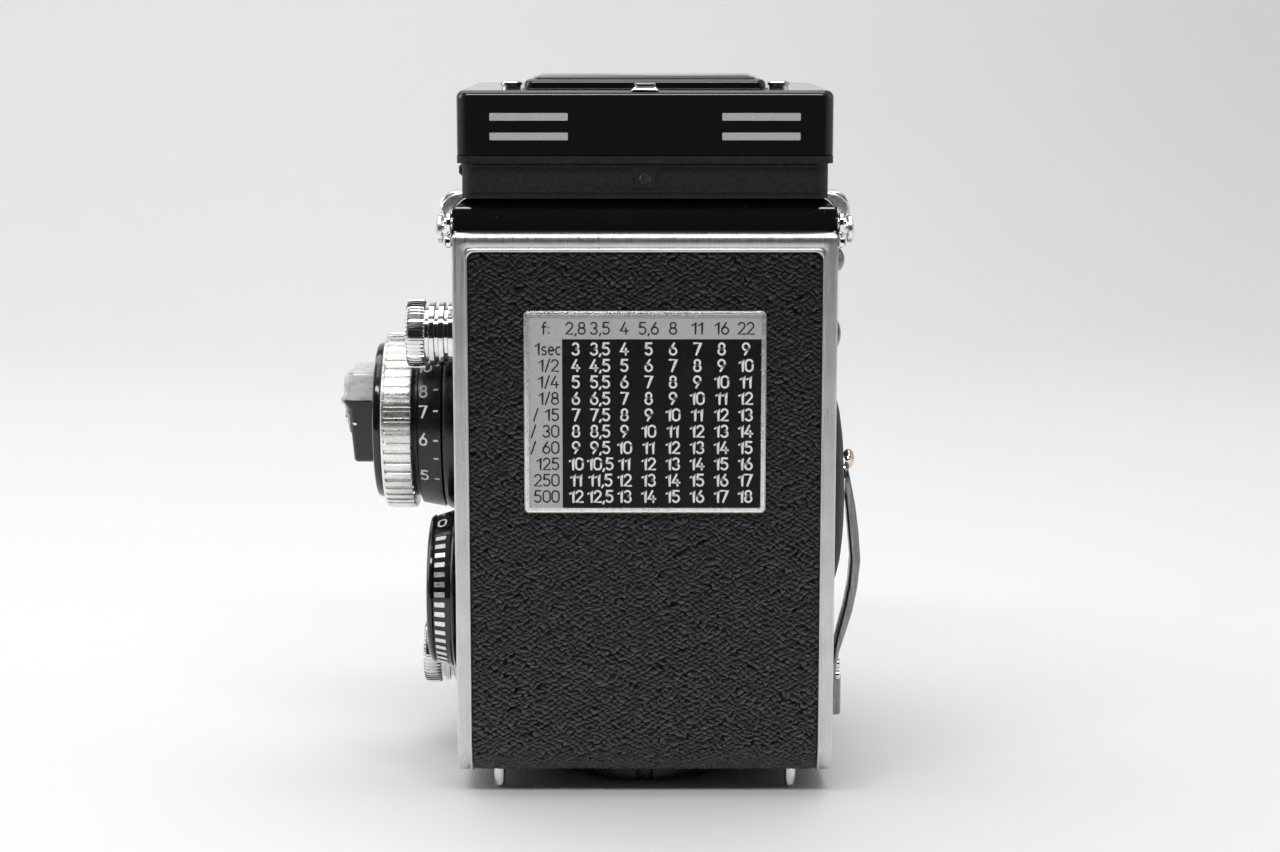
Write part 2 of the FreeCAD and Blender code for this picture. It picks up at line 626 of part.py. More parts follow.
def lens_bayonets():
    """The two filter mounts: a ring with three inner lugs on each lens."""
    rings = []
    for z in (TAKING_Z, VIEWING_Z):
        ring = cyl_y(18.9, BAYONET_END, BARREL_END, 0, z)
        ring = ring.cut(cyl_y(16.4, BAYONET_END - 1, BARREL_END + 1, 0, z))
        lugs = []
        for k in range(3):
            lug = box(-3, 3, BAYONET_END, BAYONET_END + 1.4, z + 15.6, z + 17)
            lug.rotate(V(0, 0, z), V(0, 1, 0), 120 * k)
            lugs.append(lug)
        rings.append(fuse([ring] + lugs))
    return Part.makeCompound(rings)


def lens_elements():
    glasses = []
    for z in (TAKING_Z, VIEWING_Z):
        glasses.append(lens(BARREL_BORE, -66.5, -60, 0, z, 3.0))
        glasses.append(cyl_y(REAR_BORE, -44, -40.5, 0, z))
    return Part.makeCompound(glasses)


def shutter_blades():
    """Five thin blades behind the taking lens's front glass."""
    blades = []
    for k in range(5):
        blade = cyl_y(BARREL_BORE - 0.3, -56.2, -55.8, 0, TAKING_Z)
        a0 = math.radians(72 * k + 1)
        a1 = math.radians(72 * k + 71)
        reach = 30
        wedge = [V(0.4 * math.cos((a0 + a1) / 2), -57, TAKING_Z + 0.4 * math.sin((a0 + a1) / 2))]
        for a in (a0, (a0 + a1) / 2, a1):
            wedge.append(V(reach * math.cos(a), -57, TAKING_Z + reach * math.sin(a)))
        sector = Part.Face(Part.makePolygon(wedge + [wedge[0]])).extrude(V(0, 3, 0))
        blades.append(blade.common(sector))
    return Part.makeCompound(blades)


def flash_socket():
    socket = cyl_y(3.6, STANDARD_FRONT - 4.5, STANDARD_FRONT, FLASH[0], FLASH[1])
    socket = socket.cut(cyl_y(2.3, STANDARD_FRONT - 5, STANDARD_FRONT - 1, FLASH[0], FLASH[1]))
    core = cyl_y(0.8, STANDARD_FRONT - 3.5, STANDARD_FRONT - 1, FLASH[0], FLASH[1])
    return fuse([socket, core])


def front_wheel(x):
    """A thumb wheel between the two lenses, with a knurled rim."""
    r = 7.4
    ribs = 30
    wheel = cyl_y(r, STANDARD_FRONT - 5, STANDARD_FRONT - 0.2, x, WHEEL_Z)
    grooves = []
    for k in range(ribs):
        a = 2 * math.pi * k / ribs
        at = (x + r * math.cos(a), WHEEL_Z + r * math.sin(a))
        grooves.append(cyl_y(0.35, STANDARD_FRONT - 6, STANDARD_FRONT, at[0], at[1]))
    hub = cyl_y(2.2, STANDARD_FRONT - 5.8, STANDARD_FRONT - 5, x, WHEEL_Z)
    return fuse([wheel.cut(Part.makeCompound(grooves)), hub])


def release_button():
    button = cyl_y(3.2, STANDARD_FRONT - 6, STANDARD_FRONT + PLATE_T - 1, RELEASE[0], RELEASE[1])
    rim = [e for e in button.Edges if abs(e.CenterOfMass.y - (STANDARD_FRONT - 6)) < 0.01]
    return button.makeFillet(0.8, rim)


def release_lock_ring():
    ring = cyl_y(5.0, STANDARD_FRONT - 3.2, STANDARD_FRONT - 0.2, RELEASE[0], RELEASE[1])
    ear = box(RELEASE[0] - 0.8, RELEASE[0] + 0.8, STANDARD_FRONT - 2.6, STANDARD_FRONT - 0.6,
              RELEASE[1] - 6.6, RELEASE[1] - 4.6)
    return fuse([ring, ear]).cut(cyl_y(3.5, STANDARD_FRONT - 4, STANDARD_FRONT, RELEASE[0], RELEASE[1]))


def timer_lever():
    """The self-timer and flash lever beside the taking lens."""
    x, z = TIMER
    tip_z = z - 7
    hub = cyl_y(2.0, STANDARD_FRONT - 2.4, STANDARD_FRONT - 0.2, x, z)
    pivot = cyl_y(0.95, STANDARD_FRONT - 0.2, STANDARD_FRONT + PLATE_T - 1, x, z)
    arm = box(x - 0.9, x + 0.9, STANDARD_FRONT - 2.0, STANDARD_FRONT - 0.6, tip_z, z)
    tip = cyl_y(1.5, STANDARD_FRONT - 3.6, STANDARD_FRONT - 0.6, x, tip_z)
    return fuse([hub, pivot, arm, tip])


# ---- focusing side ------------------------------------------------------
def focus_index_collar():
    """The fixed collar against the body that carries the depth marks."""
    collar = Part.makeCone(18.9, 18.8, 2.3, V(HALF_W, FOCUS[0], FOCUS[1]), V(1, 0, 0))
    return collar.cut(cyl_x(FOCUS_SHAFT_R + 0.3, HALF_W - 1, HALF_W + 4, FOCUS))


DRUM_X = (41.1, 48.4)
DRUM_R = (18.7, 17.4)    # radius beside the body and beside the knurled ring
RING_X = (48.4, 54.9)


def distance_drum():
    """The tapered drum that carries the distances, between the collar and the ring."""
    start = V(DRUM_X[0], FOCUS[0], FOCUS[1])
    drum = Part.makeCone(DRUM_R[0], DRUM_R[1], DRUM_X[1] - DRUM_X[0], start, V(1, 0, 0))
    return drum.cut(cyl_x(FOCUS_SHAFT_R, DRUM_X[0] - 1, DRUM_X[1] + 1, FOCUS))


def focus_ring():
    ring = knurled(FOCUS_R, 0.72, RING_X[0], RING_X[1], FOCUS, 54)
    ring = ring.cut(cyl_x(15.8, RING_X[0] + 1.6, RING_X[1] + 1, FOCUS))
    web = cyl_x(15.8, RING_X[0] + 1.6, RING_X[0] + 4, FOCUS)
    return fuse([ring, web]).cut(cyl_x(FOCUS_SHAFT_R, RING_X[0] - 1, RING_X[1] + 1, FOCUS))


def focus_shaft():
    """The hollow focusing shaft with the cam disc that drives the front standard."""
    tube = cyl_x(FOCUS_SHAFT_R, POCKET_X + 0.3, RING_X[0] + 5.7, FOCUS)
    cam = cyl_x(12.0, POCKET_X + 0.3, POCKET_X + 2.3, (FOCUS[0] + 2, FOCUS[1]))
    return fuse([tube, cam]).cut(cyl_x(SPINDLE_R + 0.1, POCKET_X - 1, RING_X[1] + 1, FOCUS))


def film_speed_disc():
    disc = cyl_x(16.5, RING_X[1] + 0.3, RING_X[1] + 1.9, FOCUS)
    back = cyl_x(15.4, RING_X[0] + 6.2, RING_X[1] + 0.3, FOCUS)
    return fuse([disc, back]).cut(cyl_x(SPINDLE_R + 0.1, RING_X[0], RING_X[1] + 3, FOCUS))


METER_X = (RING_X[1] + 2.2, 64.0)
METER_Y = (-11.5, 3.5)
METER_Z = (65.4, 84.9)
METER_SPLIT = 75.6       # where the black case meets the clear window
METER_CASE_X = 62.9      # outer face of the black case


def meter_housing():
    """The light meter's case on the end of the fixed spindle."""
    y0, y1 = METER_Y
    low, high = METER_Z
    case = box(METER_X[0], METER_CASE_X, y0, y1, low, METER_SPLIT)
    foot = [e for e in case.Edges if abs(e.CenterOfMass.x - METER_CASE_X) < 0.01
            and abs(e.CenterOfMass.z - low) < 0.01]
    case = case.makeChamfer(0.8, foot)
    plate = box(METER_X[0], METER_X[0] + 0.9, y0, y1, METER_SPLIT, high)
    spindle = cyl_x(SPINDLE_R, POCKET_X, METER_X[0], FOCUS)
    return fuse([case, plate, spindle])


def meter_dome():
    """The clear window over the meter's needle."""
    y0, y1 = METER_Y
    inner = METER_X[0] + 0.9
    high = METER_Z[1]
    block = box(inner, METER_X[1], y0, y1, METER_SPLIT, high)
    rim = [e for e in block.Edges if e.CenterOfMass.x > inner + 0.01
           and (abs(e.CenterOfMass.x - METER_X[1]) < 0.01 or abs(e.CenterOfMass.z - high) < 0.01)]
    return block.makeFillet(2.4, rim)


def reminder_dial():
    """The black film reminder dial low on the side, on its own pivot."""
    body = cyl_x(DIAL_R, HALF_W + 0.5, HALF_W + 6.2, DIAL)
    rim = [e for e in body.Edges if abs(e.CenterOfMass.x - (HALF_W + 6.2)) < 0.01]
    body = body.makeFillet(0.9, rim)
    recess = cyl_x(DIAL_R - 3, HALF_W + 5.4, HALF_W + 8, DIAL)
    pivot = cyl_x(2.0, CASTING_X + 0.1, HALF_W + 0.5, DIAL)
    return fuse([body.cut(recess), pivot])


KNOB_R = 7.0
KNOB_X = (44.3, 48.8)
KNOB_TIP_R = 2.2


def spool_knob(at):
    """A pull-out knob that holds one end of a spool: knurled head and ringed neck."""
    head = knurled(KNOB_R, 0.3, KNOB_X[0], KNOB_X[1], at, 48)
    parts = [head, cyl_x(5.4, HALF_W + 0.4, KNOB_X[0], at)]
    for k in range(3):
        x = HALF_W + 0.4 + 1.9 * k
        parts.append(cyl_x(6.2, x, x + 1.2, at))
    parts.append(cyl_x(KNOB_SHAFT_R, CHAMBER_X - 0.2, HALF_W + 0.4, at))
    parts.append(cyl_x(KNOB_TIP_R, SPOOL_HALF - 1.4, CHAMBER_X - 0.2, at))
    return fuse(parts)


# ---- film transport -----------------------------------------------------
def film_spool(at):
    core = cyl_x(5.6, -SPOOL_HALF, SPOOL_HALF, at)
    flanges = [cyl_x(SPOOL_R, -SPOOL_HALF, -SPOOL_HALF + 1, at),
               cyl_x(SPOOL_R, SPOOL_HALF - 1, SPOOL_HALF, at)]
    slit = box(-26, 26, at[0] - 0.6, at[0] + 0.6, at[1] - 10, at[1] + 10)
    holes = [cyl_x(KNOB_TIP_R + 0.15, end - 3, end + 3, at) for end in (-SPOOL_HALF, SPOOL_HALF)]
    return fuse([core.cut(slit)] + flanges).cut(Part.makeCompound(holes))


def film_roller(at):
    return fuse([cyl_x(ROLLER_R, -CHAMBER_X + 0.3, CHAMBER_X - 0.3, at),
                 cyl_x(ROLLER_AXLE_R, -CHAMBER_X - 1.5, CHAMBER_X + 1.5, at)])


def spool_pivot():
    """The fixed pivot of the supply spool on the crank side."""
    return fuse([cyl_x(KNOB_SHAFT_R, -CASTING_X, -CHAMBER_X, LOWER_SPOOL),
                 cyl_x(KNOB_TIP_R, -CHAMBER_X, -SPOOL_HALF + 1.4, LOWER_SPOOL)])


GEAR_X = (-35.9, -33.6)


def take_up_gear():
    """The gear that turns the take-up spool, with its flat key."""
    half_pitch = math.pi / SPOOL_TEETH
    wheel = gear(SPOOL_TEETH, GEAR_X[0], GEAR_X[1], UPPER_SPOOL, MESH_ANGLE + math.pi + half_pitch)
    shaft = cyl_x(KNOB_SHAFT_R, GEAR_X[1], -CHAMBER_X + 0.2, UPPER_SPOOL)
    key = box(-CHAMBER_X + 0.2, -SPOOL_HALF + 1.4, UPPER_SPOOL[0] - 0.7, UPPER_SPOOL[0] + 0.7,
              UPPER_SPOOL[1] - 1.9, UPPER_SPOOL[1] + 1.9)
    return fuse([wheel, shaft, key])


HUB_END = -42.4          # outer end of the crank's shaft
CRANK_DISC_R = 22.7
CRANK_DISC_T = 2.6


def crank_base_disc():
    disc = dome_x(CRANK_DISC_R, HALF_W, CRANK_DISC_T, CRANK, -1)
    return disc.cut(cyl_x(CRANK_SHAFT_R + 0.4, -HALF_W - 5, -HALF_W + 1, CRANK))


def counter_window():
    return dome_x(5.3, HALF_W, 3.0, (0.0, 92.4), -1)


def crank_hub():
    """The crank's shaft, its head and the winding gear inside the side wall."""
    wheel = gear(CRANK_TEETH, GEAR_X[0], GEAR_X[1], CRANK, MESH_ANGLE)
    shaft = cyl_x(CRANK_SHAFT_R, HUB_END, GEAR_X[1], CRANK)
    head = cyl_x(4.6, HUB_END, HUB_END + 0.8, CRANK)
    return fuse([wheel, shaft, head])


ARM_HALF = 3.2
ARM_T = 1.1
HANDLE_AXIS = (-40.9, 18.2)    # x, z of the handle's pivot


def arm_face(offset):
    """Points of the crank arm's bowed side, from its head to its free end."""
    bow = [(-43.6, 68.2), (-44.2, 61.9), (-46.2, 47.0), (-44.3, 31.5), (-41.4, 20.6)]
    return [V(x + offset, -ARM_HALF, z) for x, z in bow]


def crank_arm():
    """The bowed spring-steel arm, with the head rivet at its top."""
    outer = Part.BSplineCurve()
    outer.interpolate(arm_face(0))
    inner = Part.BSplineCurve()
    inner.interpolate(list(reversed(arm_face(ARM_T))))
    a = outer.toShape()
    b = inner.toShape()
    lower = Part.LineSegment(arm_face(0)[-1], arm_face(ARM_T)[-1]).toShape()
    upper = Part.LineSegment(arm_face(ARM_T)[0], arm_face(0)[0]).toShape()
    strip = Part.Face(Part.Wire([a, lower, b, upper])).extrude(V(0, 2 * ARM_HALF, 0))
    rivet = Part.makeSphere(1.5, V(-44.0, 0, 65.3)).cut(box(HUB_END, 0, -9, 9, 50, 80))
    boss = cyl_x(2.2, HUB_END - 1.2, HUB_END, CRANK)
    ends = [box(HANDLE_AXIS[0] - 0.5, HANDLE_AXIS[0] + 0.7, y, y + 1.2, HANDLE_AXIS[1] - 1.2, 21.4)
            for y in (-ARM_HALF, ARM_HALF - 1.2)]
    return fuse([strip, rivet, boss] + ends)


def crank_handle():
    """The small folding grip at the arm's end, hanging along the body."""
    x, z = HANDLE_AXIS
    grip = Part.makeCylinder(1.5, 8.6, V(x, 0, z - 8.6), V(0, 0, 1))
    hinge = Part.makeCylinder(0.9, 2 * (ARM_HALF - 1.3), V(x, -ARM_HALF + 1.3, z), V(0, 1, 0))
    return fuse([grip, hinge])


# ---- writing ------------------------------------------------------------
magnifier_frame_shape, magnifier_lens_shape = magnifier()
panel_right = side_panel()

PARTS = {
    "body_casting": body_casting(),
    "side_covers": side_covers(),
    "side_leathers": side_leathers(),
    "front_leather": front_leather(),
    "top_cover": top_cover(),
    "focusing_screen": focusing_screen(),
    "viewing_mirror": viewing_mirror(),
    "hood_base": hood_base(),
    "meter_cell_housing": meter_cell_housing(),
    "meter_cell_window": meter_cell_window(),
    "hinge_brackets": hinge_brackets(),
    "door_panel": door_panel(),
    "door_leather": door_leather(),
    "door_frame": door_frame(),
    "exposure_plate": exposure_plate(),
    "pressure_plate": pressure_plate(),
    "tripod_bush": tripod_bush(),
    "latch_dial": latch_dial(),
    "door_feet": door_feet(),
    "hood_lid": hood_lid(),
    "finder_flap": finder_flap(),
    "lid_studs": lid_studs(),
    "hood_panel_right": panel_right,
    "hood_panel_left": mirrored(panel_right),
    "hood_panel_rear": rear_panel(),
    "magnifier_frame": magnifier_frame_shape,
    "magnifier_lens": magnifier_lens_shape,
    "front_standard": front_standard(),
    "taking_lens_barrel": lens_barrel(TAKING_Z),
    "viewing_lens_barrel": lens_barrel(VIEWING_Z),
    "lens_bayonets": lens_bayonets(),
    "lens_elements": lens_elements(),
    "shutter_blades": shutter_blades(),
    "flash_socket": flash_socket(),
    "aperture_wheel": front_wheel(-WHEEL_X),
    "shutter_wheel": front_wheel(WHEEL_X),
    "release_button": release_button(),
    "release_lock_ring": release_lock_ring(),
    "timer_lever": timer_lever(),
    "focus_index_collar": focus_index_collar(),
    "distance_drum": distance_drum(),
    "focus_ring": focus_ring(),
    "focus_shaft": focus_shaft(),
    "film_speed_disc": film_speed_disc(),
    "meter_housing": meter_housing(),
    "meter_dome": meter_dome(),
    "reminder_dial": reminder_dial(),
    "upper_spool_knob": spool_knob(UPPER_SPOOL),
    "lower_spool_knob": spool_knob(LOWER_SPOOL),
    "take_up_spool": film_spool(UPPER_SPOOL),
    "supply_spool": film_spool(LOWER_SPOOL),
    "lower_film_roller": film_roller(ROLLERS[0]),
    "upper_film_roller": film_roller(ROLLERS[1]),
    "supply_spool_pivot": spool_pivot(),
    "take_up_gear": take_up_gear(),
    "crank_base_disc": crank_base_disc(),
    "counter_window": counter_window(),
    "crank_hub": crank_hub(),
    "crank_arm": crank_arm(),
    "crank_handle": crank_handle(),
}

for name, shape in PARTS.items():
    save(name, shape)
    print(name, len(shape.Solids), round(shape.Volume, 1), shape.isValid())
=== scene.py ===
import math
import bmesh
import bpy
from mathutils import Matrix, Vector, noise


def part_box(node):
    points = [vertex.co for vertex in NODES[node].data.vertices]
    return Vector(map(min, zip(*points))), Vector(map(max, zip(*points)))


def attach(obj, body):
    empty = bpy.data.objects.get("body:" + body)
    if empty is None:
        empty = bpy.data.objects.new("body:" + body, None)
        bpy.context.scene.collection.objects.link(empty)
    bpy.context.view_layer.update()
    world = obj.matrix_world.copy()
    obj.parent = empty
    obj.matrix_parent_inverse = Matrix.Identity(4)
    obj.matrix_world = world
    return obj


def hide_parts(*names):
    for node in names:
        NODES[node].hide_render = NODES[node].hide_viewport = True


# Looks of a twin lens reflex camera, seen from behind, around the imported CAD.
# Lengths are in millimetres until new_mesh() turns them into metres. Blender's
# frame is the CAD's: +Z up, lenses towards -Y, back door towards +Y.

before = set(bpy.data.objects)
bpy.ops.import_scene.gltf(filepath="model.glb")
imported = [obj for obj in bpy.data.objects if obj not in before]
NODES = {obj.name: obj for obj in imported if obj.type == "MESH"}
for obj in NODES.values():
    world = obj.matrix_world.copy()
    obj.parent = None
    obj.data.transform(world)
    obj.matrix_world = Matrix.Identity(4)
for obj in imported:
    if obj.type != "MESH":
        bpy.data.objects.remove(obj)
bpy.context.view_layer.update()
MM = 0.001


def mm_box(node):
    low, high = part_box(node)
    return Vector(low) / MM, Vector(high) / MM


def knob_box(node):
    """A knob that turns about an X axis line: its ends, its line's y and z, its radius."""
    low, high = mm_box(node)
    return low.x, high.x, (low.y + high.y) / 2, (low.z + high.z) / 2, (high.z - low.z) / 2


# ---- materials ----------------------------------------------------------
class Shader:
    """A short way to write a node material around one Principled shader."""

    def __init__(self, name, color, metallic=0.0, roughness=0.5, **sockets):
        self.material = bpy.data.materials.new(name)
        self.material.use_nodes = True
        self.tree = self.material.node_tree
        self.bsdf = self.tree.nodes["Principled BSDF"]
        self.set(self.bsdf, "Base Color", (*color, 1.0))
        self.set(self.bsdf, "Metallic", metallic)
        self.set(self.bsdf, "Roughness", roughness)
        for key, value in sockets.items():
            self.set(self.bsdf, key.replace("_", " "), value)
        self.coords = self.node("ShaderNodeTexCoord").outputs["Object"]
        self.normal = None

    def node(self, kind, **settings):
        made = self.tree.nodes.new(kind)
        for key, value in settings.items():
            setattr(made, key, value)
        return made

    def set(self, node, socket, value):
        if hasattr(value, "is_output"):
            self.tree.links.new(value, node.inputs[socket])
        else:
            node.inputs[socket].default_value = value

    def scaled(self, factors):
        mapping = self.node("ShaderNodeMapping")
        self.set(mapping, "Vector", self.coords)
        self.set(mapping, "Scale", factors)
        return mapping.outputs["Vector"]

    def noise(self, size_mm, detail=3.0, vector=None, roughness=0.5):
        made = self.node("ShaderNodeTexNoise")
        self.set(made, "Vector", vector or self.coords)
        self.set(made, "Scale", 1.0 / (size_mm * MM))
        self.set(made, "Detail", detail)
        self.set(made, "Roughness", roughness)
        return made.outputs["Fac"]

    def cells(self, size_mm, vector=None, feature="DISTANCE_TO_EDGE"):
        made = self.node("ShaderNodeTexVoronoi", feature=feature)
        self.set(made, "Vector", vector or self.coords)
        self.set(made, "Scale", 1.0 / (size_mm * MM))
        return made.outputs["Distance"]

    def ramp(self, fac, stops):
        """A colour ramp through (position, value or colour) stops."""
        made = self.node("ShaderNodeValToRGB")
        self.set(made, "Fac", fac)
        elements = made.color_ramp.elements
        while len(elements) < len(stops):
            elements.new(0.5)
        for element, (position, value) in zip(elements, stops):
            element.position = position
            color = (value,) * 3 if isinstance(value, (int, float)) else value
            element.color = (*color, 1.0)
        return made.outputs["Color"]

    def math(self, operation, a, b=0.0):
        made = self.node("ShaderNodeMath", operation=operation)
        self.set(made, 0, a)
        self.set(made, 1, b)
        return made.outputs[0]

    def warped(self, size_mm, amount_mm):
        """Object coordinates pushed about by a noise."""
        made = self.node("ShaderNodeTexNoise")
        self.set(made, "Vector", self.coords)
        self.set(made, "Scale", 1.0 / (size_mm * MM))
        centred = self.node("ShaderNodeVectorMath", operation="SUBTRACT")
        self.set(centred, 0, made.outputs["Color"])
        self.set(centred, 1, (0.5, 0.5, 0.5))
        pushed = self.node("ShaderNodeVectorMath", operation="MULTIPLY_ADD")
        self.set(pushed, 0, centred.outputs[0])
        self.set(pushed, 1, (2 * amount_mm * MM,) * 3)
        self.set(pushed, 2, self.coords)
        return pushed.outputs[0]

    def bump(self, height, depth_mm, strength=1.0):
        made = self.node("ShaderNodeBump")
        self.set(made, "Height", height)
        self.set(made, "Distance", depth_mm * MM)
        self.set(made, "Strength", strength)
        if self.normal is not None:
            self.set(made, "Normal", self.normal)
        self.normal = made.outputs["Normal"]
        self.set(self.bsdf, "Normal", self.normal)

    def color_from(self, output):
        self.set(self.bsdf, "Base Color", output)

    def roughness_from(self, fac, low, high):
        self.set(self.bsdf, "Roughness", self.ramp(fac, [(0.3, low), (0.7, high)]))


def leather_material(fine_only):
    """Black grained leather. The back's own mesh has the coarse grain already, and its colour and specular level
    come from a mesh attribute with painted shade in the folds and painted light on the crests.
    """
    s = Shader("leather_fine" if fine_only else "leather_grain", (0.016, 0.016, 0.018))
    s.color_from(s.ramp(s.noise(6.0), [(0.3, (0.013, 0.013, 0.015)), (0.7, (0.022, 0.022, 0.025))]))
    s.roughness_from(s.noise(3.0), 0.34, 0.46)
    if fine_only:
        s.bump(s.ramp(s.cells(0.62, s.warped(0.9, 0.35)), [(0.0, 0.0), (0.3, 1.0)]), 0.05)
        # Painted shade: the attribute makes the folds' falls near black and without specular, and the crests
        # lighter and glossier.
        grain_tone_and_painted_shade = s.node("ShaderNodeAttribute", attribute_name="grain_tone_and_painted_shade").outputs["Fac"]
        tones = [(0.0, 0.001), (0.35, (0.016, 0.016, 0.018)), (1.0, (0.085, 0.085, 0.093))]
        s.color_from(s.ramp(grain_tone_and_painted_shade, tones))
        s.set(s.bsdf, "Specular IOR Level", s.ramp(grain_tone_and_painted_shade, [(0.0, 0.0), (0.35, 0.14), (0.9, 0.5)]))
    else:
        stretched = s.scaled((1.0, 1.0, 1.35))
        crease = s.cells(1.7, s.warped(1.6, 0.8))
        s.bump(s.ramp(crease, [(0.0, 0.0), (0.35, 1.0)]), 0.22)
        s.bump(s.noise(1.1, vector=stretched), 0.18)
    s.bump(s.noise(0.35, 4.0), 0.035)
    return s.material


def gloss_black_material():
    s = Shader("gloss_enamel", (0.008, 0.008, 0.009), roughness=0.1, Coat_Weight=0.4, Coat_Roughness=0.05)
    dust = s.cells(3.1, feature="F1")
    s.color_from(s.ramp(dust, [(0.0, 0.22), (0.035, 0.008), (1.0, 0.008)]))
    s.roughness_from(s.noise(9.0), 0.07, 0.16)
    s.bump(s.noise(2.5), 0.004)
    return s.material


def wrinkle_material():
    s = Shader("wrinkle_paint", (0.012, 0.012, 0.013), Specular_IOR_Level=0.3)
    s.color_from(s.ramp(s.noise(0.9, 4.0), [(0.35, (0.007, 0.007, 0.008)), (0.7, (0.018, 0.018, 0.0195))]))
    s.roughness_from(s.noise(0.6), 0.38, 0.6)
    s.bump(s.noise(0.42, 3.0, roughness=0.6), 0.10)
    return s.material


def satin_metal_material():
    """Satin finished metal with faint streaks along the vertical strips."""
    s = Shader("satin_metal", (0.72, 0.71, 0.69), metallic=1.0)
    streaks = s.noise(0.5, 3.0, s.scaled((1.0, 1.0, 0.04)))
    patina = s.noise(7.0, 5.0)
    mixed = s.math("MULTIPLY", streaks, patina)
    s.color_from(s.ramp(mixed, [(0.1, (0.62, 0.61, 0.59)), (0.45, (0.80, 0.79, 0.77))]))
    s.roughness_from(streaks, 0.26, 0.40)
    s.bump(streaks, 0.008)
    return s.material


def dark_steel_material():
    s = Shader("dark_steel", (0.25, 0.24, 0.23), metallic=1.0)
    streaks = s.noise(0.4, 3.0, s.scaled((1.0, 1.0, 0.05)))
    s.color_from(s.ramp(streaks, [(0.3, (0.17, 0.16, 0.15)), (0.7, (0.34, 0.33, 0.32))]))
    s.roughness_from(s.noise(2.0), 0.18, 0.3)
    s.bump(streaks, 0.005)
    return s.material


def plain_material(name, color, metallic, tones, sheen, relief, end=0.7, **sockets):
    """Paint or metal with three noises in it. tones is (size, detail, darkest, lightest),
    sheen is (size, detail, smoothest, roughest), relief is (size, depth)."""
    s = Shader(name, color, metallic, **sockets)
    size, detail, dark, light = tones
    s.color_from(s.ramp(s.noise(size, detail), [(0.3, dark), (end, light)]))
    size, detail, low, high = sheen
    s.roughness_from(s.noise(size, detail), low, high)
    size, depth = relief
    s.bump(s.noise(size), depth)
    return s.material


def figure_paint(name, color):
    """Thin paint fill of engraved figures and marks."""
    worn = tuple(c * 0.86 for c in color)
    return plain_material(name, color, 0.0, (0.5, 4.0, worn, color), (0.4, 3.0, 0.45, 0.65), (0.2, 0.006), 0.6)


def milky_material():
    """Clear moulded plastic over a pale dial."""
    s = Shader("milky_window", (0.82, 0.82, 0.8), roughness=0.12, Transmission_Weight=0.3, IOR=1.47,
               Coat_Weight=0.6, Coat_Roughness=0.04)
    streaks = s.noise(1.6, 3.0, s.scaled((0.5, 0.5, 1.6)))
    tones = [(0.25, (0.42, 0.42, 0.41)), (0.5, (0.86, 0.86, 0.84)), (0.8, (0.95, 0.95, 0.93))]
    s.color_from(s.ramp(streaks, tones))
    s.roughness_from(s.noise(2.0), 0.06, 0.2)
    s.bump(s.noise(3.0), 0.02)
    return s.material


def glass_material(name, tint, roughness=0.02):
    s = Shader(name, tint, roughness=roughness, Transmission_Weight=1.0, IOR=1.5)
    s.roughness_from(s.noise(3.0), roughness, roughness + 0.03)
    s.bump(s.noise(4.0), 0.001)
    return s.material


def coated_glass_material():
    """A lens front with a dark barrel behind it and a violet coating."""
    s = Shader("coated_lens", (0.02, 0.015, 0.03), roughness=0.03, Coat_Weight=1.0, Coat_Roughness=0.02,
               Coat_Tint=(0.72, 0.62, 1.0, 1.0))
    s.color_from(s.ramp(s.noise(12.0), [(0.3, (0.012, 0.01, 0.02)), (0.7, (0.03, 0.018, 0.045))]))
    s.roughness_from(s.noise(5.0), 0.02, 0.05)
    return s.material


def mirror_material():
    s = Shader("front_silvered", (0.9, 0.9, 0.9), metallic=1.0)
    s.roughness_from(s.noise(8.0), 0.01, 0.04)
    s.color_from(s.ramp(s.noise(10.0), [(0.3, 0.86), (0.7, 0.93)]))
    return s.material


def screen_material():
    s = Shader("ground_glass", (0.75, 0.77, 0.76), roughness=0.5, Transmission_Weight=0.6, IOR=1.5)
    s.color_from(s.ramp(s.noise(0.3, 4.0), [(0.3, 0.68), (0.7, 0.8)]))
    s.bump(s.noise(0.12), 0.01)
    return s.material


def cell_material():
    s = Shader("meter_cell", (0.62, 0.64, 0.6), roughness=0.25, Coat_Weight=0.6)
    # Painted shading of small domes: each cell is lighter in its middle and darker at its rim.
    s.color_from(s.ramp(s.cells(1.1, feature="F1"), [(0.1, (0.72, 0.74, 0.70)), (0.6, (0.36, 0.38, 0.36))]))
    s.bump(s.noise(0.6), 0.01)
    return s.material


LEATHER = leather_material(False)
LEATHER_FINE = leather_material(True)
GLOSS = gloss_black_material()
WRINKLE = wrinkle_material()
SATIN = satin_metal_material()
DARK_STEEL = dark_steel_material()
SATIN_BLACK = plain_material("satin_black", (0.009, 0.009, 0.01), 0.0, (8.0, 4.0, 0.007, 0.014),
                             (4.0, 3.0, 0.2, 0.34), (0.3, 0.006), 0.75)
MATTE = plain_material("matte_black", (0.02, 0.02, 0.02), 0.0, (5.0, 4.0, 0.014, 0.026),
                       (1.0, 3.0, 0.6, 0.78), (0.25, 0.02), 0.75)
TABLE_BLACK = plain_material("table_black", (0.008, 0.008, 0.009), 0.0, (6.0, 4.0, 0.006, 0.012),
                             (3.0, 3.0, 0.22, 0.36), (0.4, 0.004), 0.75, Specular_IOR_Level=0.16)
KNURL = plain_material("bright_aluminium", (0.86, 0.855, 0.83), 1.0,
                       (2.0, 5.0, (0.80, 0.79, 0.76), (0.92, 0.915, 0.89)), (0.8, 3.0, 0.24, 0.38), (0.3, 0.0006))
CHROME = plain_material("polished_chrome", (0.82, 0.82, 0.83), 1.0, (1.6, 4.0, 0.78, 0.88),
                        (2.0, 4.0, 0.05, 0.11), (1.2, 0.0015))
BRACKET_METAL = plain_material("bright_plating", (0.86, 0.86, 0.86), 1.0, (1.2, 4.0, 0.82, 0.92),
                               (1.6, 4.0, 0.22, 0.32), (0.9, 0.001))
